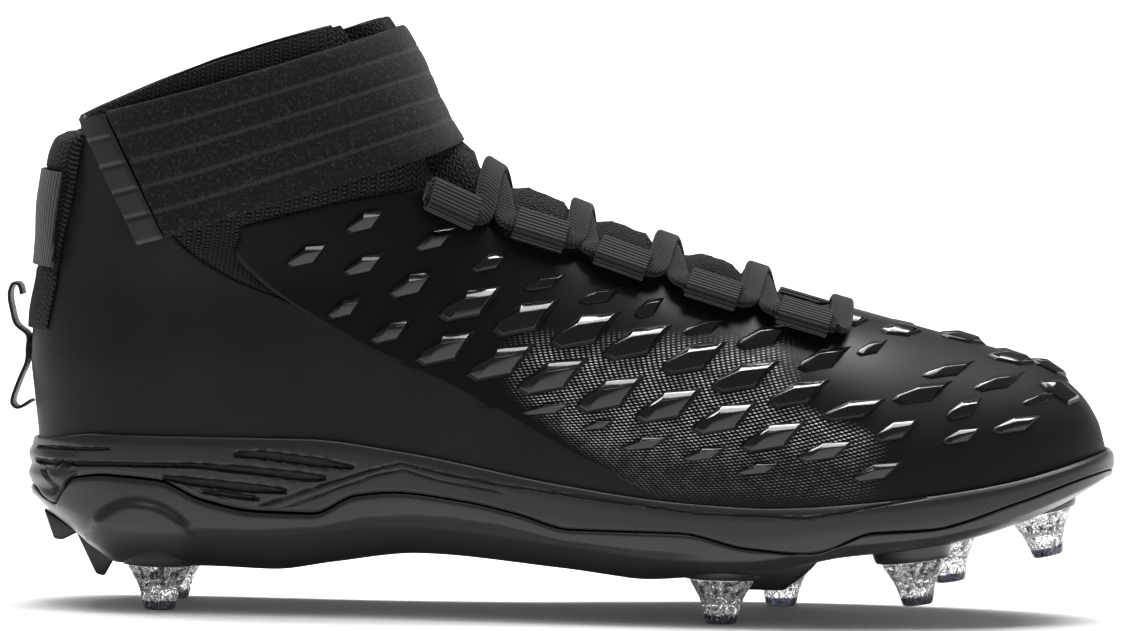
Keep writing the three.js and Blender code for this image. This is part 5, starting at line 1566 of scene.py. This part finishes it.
def copy_to(piece, name, matrix):
    """A copy of a piece with its own mesh, moved there."""
    copied = piece.copy()
    copied.data = piece.data.copy()
    copied.name = copied.data.name = name
    bpy.context.scene.collection.objects.link(copied)
    copied.data.transform(matrix)
    if matrix.to_3x3().determinant() < 0:
        copied.data.flip_normals()
    return copied


def stud_matrix(stud):
    """Stands a body at a stud's place, leaning with it."""
    return Matrix.Translation(metres(stud_place(stud))) @ Matrix.Rotation(math.radians(-stud[4]), 4, "Y")


def remove(piece):
    mesh = piece.data
    bpy.data.objects.remove(piece)
    bpy.data.meshes.remove(mesh)


def seat_profile(radius):
    """Profile of the plate's flared seat over a stud, out to that radius."""
    face, top = STUD_HEIGHT + .3, STUD_HEIGHT + SEAT_DEPTH + 1.5
    neck, neck_z = STUD_TOP + 1.75, face + 1.6
    flare = [(lerp(neck, radius + 1.0, f ** 1.25), lerp(neck_z, top, f)) for f in np.linspace(0, 1, 8)[1:]]
    return [(STUD_TOP + .9, face), (STUD_TOP + 1.3, face + .35), (neck, neck_z), *flare]


def build_plate():
    """The moulded plate: wrapped-up rim, underside, stud seats and fins."""
    outline = sole_outline(560)
    points = outline[0]
    count = len(points)
    end = parting_level(points[:, 0]) - .012
    lip = 1.5 * smoothstep(points[:, 0], 48, 75) * (1 - smoothstep(points[:, 0], 165, 184))
    floor = sole_points(outline, 0.0, np.full(count, -10.0))
    inside_top = floor + np.array([0, 0, PLATE_THICK])
    rings, painted_shades = [inward(inside_top, share) for share in (1.0, .5, 0.0)], {}
    rings.append(sole_points(outline, end * .6, np.full(count, -1.5)))
    rings.append(sole_points(outline, end, np.full(count, -.4)))
    for f in np.linspace(1, 0, 30):
        level = end * f
        outset = sidewall(level)
        flat = sole_points(outline, level, outset)
        depth, shade = groove_depth(flat[:, 0], flat[:, 2])
        edge = .45 * (1 - smoothstep((end - level) * 30, 0, .8))
        bulge = housing_bulge(flat[:, 0], flat[:, 2], points[:, 1])
        under = band_share(flat[:, 0], flat[:, 2])
        ring = sole_points(outline, level, outset - edge - depth * .5 + bulge - .5 * under)
        ring[:, 2] -= lip * (1 - smoothstep(level, 0, .3))
        rings.append(ring)
        # Painted shade in the grooves and on the turned-under band.
        painted_shades[len(rings) - 1] = np.maximum(shade, under)
    for share in np.linspace(0, 1, 26)[1:]:
        ring = inward(floor, share)
        ring[:, 2] -= lip * (1 - smoothstep(share, 0, .22))
        rings.append(ring)
        # Painted shade of the band carried on under the plate, fading toward its middle.
        painted_shades[len(rings) - 1] = under * (1 - share)
    shade = np.stack([painted_shades.get(k, np.zeros(count)) for k in range(len(rings))])
    piece = grid_piece("plate_shell", np.stack(rings), wrap=True,
                       attributes={"shade": np.concatenate([shade, shade[:, :1]], 1)})
    clean_up(piece)
    parts = [piece]
    for stud in STUDS:
        seat = turned_piece("seat", seat_profile(stud[5]), 48)
        parts.append(copy_to(seat, "stud_seat", stud_matrix(stud)))
        remove(seat)
    for y, thick, corners in FINS:
        x, z = np.array(corners).T
        sides = [np.stack([x * LENGTH, np.full(len(x), y * BALL + half), up_to(z)], -1)
                 for half in (-thick / 2, thick / 2)]
        fin = tube_piece("fin", np.stack(sides))
        add_modifier(fin, "BEVEL", limit_method="ANGLE", angle_limit=math.radians(30), width=.0006, segments=3)
        parts.append(fin)
    piece = joined("outsole_plate_moulded", parts)
    smooth(piece, 45)
    settle(piece, "plate", ["outsole_plate"], look("plate"))


def housing_bulge(x, z, y):
    """Swelling of the sidewall over the outer heel stud."""
    middle_x, middle_z, behind, ahead, high = HOUSING
    across = (x - middle_x) / np.where(x < middle_x, behind, ahead)
    inside = 1 - np.hypot(across, (z - middle_z) / high)
    return (y < 0) * 1.5 * smoothstep(inside, -.02, .1) * smoothstep(z, 12, 20)


def band_share(x, z):
    """1 in the plate's turned-under band below its crease, which is drawn in and darkened with painted shade."""
    edge = np.interp(x, [row[0] for row in BAND_EDGE], [row[1] for row in BAND_EDGE])
    along = smoothstep(x, 40, 44) * (1 - smoothstep(x, 176, 192))
    return along * (1 - smoothstep(z - edge, -.9, .1))


def build_insole():
    """The sockliner on the footbed, with its edges turned up."""
    points, normals = sole_outline(300)
    margin = WALL + SKIN + GAP * 6

    def ring(inset, rise):
        x, y = (points - normals * (inset + margin)).T
        within = np.clip(x, 0, LENGTH)
        middle = middle_y(within)
        return np.stack([x, middle + (y - middle) * INSOLE_SHRINK, footbed_z(within) + rise], -1)

    low, top = ring(.4, .35), ring(1.2, 3.4)
    rings = [inward(low, 1), inward(low, .5), low, ring(0, .7), ring(-.1, 2.4), ring(.35, 3.3), top]
    rings += [inward(top, f) - np.array([0, 0, .5 * math.sin(f * math.pi / 2)]) for f in np.linspace(0, 1, 20)[1:]]
    piece = grid_piece("insole_liner", np.stack(rings), wrap=True)
    uv = piece.data.uv_layers[0].data
    co = np.array([piece.data.vertices[l.vertex_index].co for l in piece.data.loops])
    uv.foreach_set("uv", (co[:, :2] * 1000).ravel())
    clean_up(piece)
    smooth(piece, 60)
    settle(piece, "lining", ["insole"], look("insole"))


def build_studs():
    """Screw-in studs: a tapering clear cone with shallow flats, modelled once and copied to each place."""
    tip, turns = size("stud_tip"), 96
    cone = curve([(0, tip), (1.4, tip + .3), (6.8, 6.15), (9.6, 7.7), (12.3, STUD_TOP)])
    profile = [(tip - .7, .02), (tip - .15, .3)]
    profile += [(float(cone(h)), h) for h in (1.0, 2.2, 2.5, 3.6, 4.8, 6.0, 7.2, 8.3, 8.6, 9.8, 11.0, 11.9)]
    profile.append((STUD_TOP - .3, STUD_HEIGHT - .02))
    master = turned_piece("stud_clear", profile, turns)
    rise = master.data.attributes.new("rise", "FLOAT", "POINT")
    for vertex in master.data.vertices:
        height = vertex.co.z * 1000
        angle = math.atan2(vertex.co.y, vertex.co.x)
        flat = 0.0
        if .5 < height < 8.5:
            flat = .05 * max(0.0, math.cos(angle * 8)) ** 2
        elif .5 < height < STUD_HEIGHT - .1:
            flat = .03 * max(0.0, math.cos(angle * 6)) ** 4
        vertex.co.x *= 1 - flat
        vertex.co.y *= 1 - flat
        rise.data[vertex.index].value = height
    for stud in STUDS:
        piece = copy_to(master, stud[0] + "_clear", stud_matrix(stud))
        smooth(piece, 35)
        settle(piece, "stud_clear", [stud[0]], look("stud"))
    remove(master)


def lay_floor():
    """The floor as one sheet that curves up behind the shoe, its far edge extruded along an arc. In metres."""
    wide, near, far, radius, top = 10.0, -4.0, 1.1, .5, .52
    bpy.ops.object.select_all(action="DESELECT")
    bpy.ops.mesh.primitive_plane_add(size=1)
    sweep = bpy.context.object
    sweep.name = sweep.data.name = "studio_sweep"
    bpy.ops.object.mode_set(mode="EDIT")
    bpy.ops.transform.resize(value=(wide, far - near, 1), center_override=(0, 0, 0))
    bpy.ops.transform.translate(value=(0, (far + near) / 2, 0))
    bpy.ops.object.mode_set(mode="OBJECT")
    for vertex in sweep.data.vertices:
        vertex.select = vertex.co.y > 0
    for edge in sweep.data.edges:
        edge.select = all(sweep.data.vertices[k].select for k in edge.vertices)
    for face in sweep.data.polygons:
        face.select = False
    bpy.ops.object.mode_set(mode="EDIT")
    bpy.ops.mesh.select_mode(type="EDGE")
    turns = [(radius * math.sin(a), radius * (1 - math.cos(a))) for a in np.linspace(0, math.pi / 2, 13)]
    turns.append((radius, top))
    for (y, z), (next_y, next_z) in zip(turns, turns[1:]):
        bpy.ops.mesh.extrude_region_move(TRANSFORM_OT_translate={"value": (0, next_y - y, next_z - z)})
    bpy.ops.mesh.select_mode(type="VERT")
    bpy.ops.object.mode_set(mode="OBJECT")
    sweep.data.materials.append(look("paint"))
    smooth(sweep)


def hang_light(name, place, aim, wide, high, watts):
    """A rectangular softbox, in metres."""
    bpy.ops.object.light_add(type="AREA", location=place)
    lamp = bpy.context.object
    lamp.name = name
    lamp.data.shape = "RECTANGLE"
    lamp.data.size, lamp.data.size_y = wide, high
    lamp.data.energy = watts
    lamp.rotation_euler = (Vector(aim) - Vector(place)).to_track_quat("-Z", "Y").to_euler()


def light_room(strength):
    """Even white light from all round."""
    scene = bpy.context.scene
    scene.world = bpy.data.worlds.new("studio")
    scene.world.use_nodes = True
    background = scene.world.node_tree.nodes["Background"]
    background.inputs["Color"].default_value = (1, 1, 1, 1)
    background.inputs["Strength"].default_value = strength
    scene.view_settings.view_transform = "Standard"


def build_stage():
    """Pale floor curving up behind, soft studio light from above, and the long-lens camera."""
    sizes = bpy.context.scene.cleat_sizes
    lay_floor()
    light_room(sizes.room_light)
    hang_light("key_softbox", (.1, .2, 1.25), (0, 0, .05), 1.1, .6, sizes.key_power)
    hang_light("top_fill", (-.2, -.6, 1.7), (0, 0, .06), .5, .3, sizes.fill_power)
    hang_light("backdrop_light", (0, .75, 2.2), (0, 1.7, .1), 3.2, .4, sizes.backdrop_power)
    make_camera()


def make_camera():
    """The photo's camera, far off with a long lens."""
    bpy.ops.object.camera_add()
    camera = bpy.context.object
    camera.name = "photo_camera"
    distance = size("camera_distance") * .001
    elevation = math.radians(PHOTO_ELEVATION)
    target = Vector(metres(PHOTO_AIM))
    back = Vector((0, -math.cos(elevation), math.sin(elevation)))
    camera.location = target + back * distance
    camera.rotation_mode = "QUATERNION"
    aim = (-back).to_track_quat("-Z", "Y")
    roll = Matrix.Rotation(math.radians(PHOTO_ROLL), 4, "Z").to_quaternion()
    camera.rotation_quaternion = aim @ roll
    camera.data.sensor_width = SENSOR
    camera.data.lens = SENSOR * distance * 1000 / (PHOTO_PIXELS * PHOTO_PIXEL)
    camera.data.clip_start, camera.data.clip_end = .05, 100
    bpy.context.scene.camera = camera


class CLEAT_OT_stage(bpy.types.Operator):
    """Lays the floor, hangs the lights and sets the camera"""

    bl_idname = "cleat.stage"
    bl_label = "Stage and camera"
    bl_options = {"REGISTER", "UNDO"}

    def execute(self, context):
        build_stage()
        return {"FINISHED"}


class CLEAT_OT_lace(bpy.types.Operator):
    """Threads the flat lace through its loops"""

    bl_idname = "cleat.lace"
    bl_label = "Lace"
    bl_options = {"REGISTER", "UNDO"}

    def execute(self, context):
        build_lace()
        return {"FINISHED"}


class CLEAT_OT_webbing_loops(bpy.types.Operator):
    """Sews the ribbed webbing loops along the throat"""

    bl_idname = "cleat.webbing_loops"
    bl_label = "Webbing loops"
    bl_options = {"REGISTER", "UNDO"}

    def execute(self, context):
        build_loops()
        return {"FINISHED"}


class CLEAT_OT_knit_upper(bpy.types.Operator):
    """Knits the hollow bootie with its collar"""

    bl_idname = "cleat.knit_upper"
    bl_label = "Knit upper"
    bl_options = {"REGISTER", "UNDO"}

    def execute(self, context):
        build_upper()
        return {"FINISHED"}


class CLEAT_OT_heel_panel(bpy.types.Operator):
    """Lays the matte panel round the heel"""

    bl_idname = "cleat.heel_panel"
    bl_label = "Heel panel"
    bl_options = {"REGISTER", "UNDO"}

    def execute(self, context):
        build_quarter()
        return {"FINISHED"}


class CLEAT_OT_faceted_shell(bpy.types.Operator):
    """Lays the moulded shell with its raised facets over the forefoot"""

    bl_idname = "cleat.faceted_shell"
    bl_label = "Faceted shell"
    bl_options = {"REGISTER", "UNDO"}

    def execute(self, context):
        build_shell()
        return {"FINISHED"}


class CLEAT_OT_tongue(bpy.types.Operator):
    """Pads the tongue under the throat"""

    bl_idname = "cleat.tongue"
    bl_label = "Tongue"
    bl_options = {"REGISTER", "UNDO"}

    def execute(self, context):
        build_tongue()
        return {"FINISHED"}


class CLEAT_OT_ankle_strap(bpy.types.Operator):
    """Wraps the elastic strap and its rubber grip round the collar"""

    bl_idname = "cleat.ankle_strap"
    bl_label = "Ankle strap"
    bl_options = {"REGISTER", "UNDO"}

    def execute(self, context):
        build_strap()
        return {"FINISHED"}


class CLEAT_OT_pull_tab(bpy.types.Operator):
    """Sews the pull tab, its woven sleeve and the heel ribbon"""

    bl_idname = "cleat.pull_tab"
    bl_label = "Pull tab"
    bl_options = {"REGISTER", "UNDO"}

    def execute(self, context):
        build_tab()
        build_sleeve()
        build_ribbon()
        return {"FINISHED"}


class CLEAT_OT_midsole(bpy.types.Operator):
    """Moulds the foam cup with its grooved sidewall"""

    bl_idname = "cleat.midsole"
    bl_label = "Midsole"
    bl_options = {"REGISTER", "UNDO"}

    def execute(self, context):
        build_midsole()
        return {"FINISHED"}


class CLEAT_OT_outsole_plate(bpy.types.Operator):
    """Moulds the plate with its stud seats and fins"""

    bl_idname = "cleat.outsole_plate"
    bl_label = "Outsole plate"
    bl_options = {"REGISTER", "UNDO"}

    def execute(self, context):
        build_plate()
        return {"FINISHED"}


class CLEAT_OT_insole(bpy.types.Operator):
    """Lays the sockliner on the footbed"""

    bl_idname = "cleat.insole"
    bl_label = "Insole"
    bl_options = {"REGISTER", "UNDO"}

    def execute(self, context):
        build_insole()
        return {"FINISHED"}


class CLEAT_OT_studs(bpy.types.Operator):
    """Screws the seven clear studs into their seats"""

    bl_idname = "cleat.studs"
    bl_label = "Studs"
    bl_options = {"REGISTER", "UNDO"}

    def execute(self, context):
        build_studs()
        return {"FINISHED"}


STEPS = (CLEAT_OT_stage, CLEAT_OT_lace, CLEAT_OT_webbing_loops, CLEAT_OT_knit_upper, CLEAT_OT_heel_panel,
         CLEAT_OT_faceted_shell, CLEAT_OT_tongue, CLEAT_OT_ankle_strap, CLEAT_OT_pull_tab, CLEAT_OT_midsole,
         CLEAT_OT_outsole_plate, CLEAT_OT_insole, CLEAT_OT_studs)


class CLEAT_PT_sidebar(bpy.types.Panel):
    """The cleat's pieces in the order in which they are made, then their sizes and colours"""

    bl_idname = "CLEAT_PT_sidebar"
    bl_label = "Football cleat"
    bl_space_type = "VIEW_3D"
    bl_region_type = "UI"
    bl_category = "Cleat"

    def draw(self, context):
        for step in STEPS:
            self.layout.operator(step.bl_idname)
        for title, group in (("Sizes", context.scene.cleat_sizes), ("Colours", context.scene.cleat_colours)):
            column = self.layout.box().column()
            column.label(text=title)
            for key in group.__annotations__:
                column.prop(group, key)


CLASSES = (CleatSizes, CleatColours, *STEPS, CLEAT_PT_sidebar)


def register():
    for kind in CLASSES:
        bpy.utils.register_class(kind)
    bpy.types.Scene.cleat_sizes = PointerProperty(type=CleatSizes)
    bpy.types.Scene.cleat_colours = PointerProperty(type=CleatColours)


def unregister():
    del bpy.types.Scene.cleat_colours
    del bpy.types.Scene.cleat_sizes
    for kind in reversed(CLASSES):
        bpy.utils.unregister_class(kind)


def main():
    register()
    for step in STEPS:
        getattr(bpy.ops.cleat, step.bl_idname.partition(".")[2])()


if __name__ == "__main__":
    main()
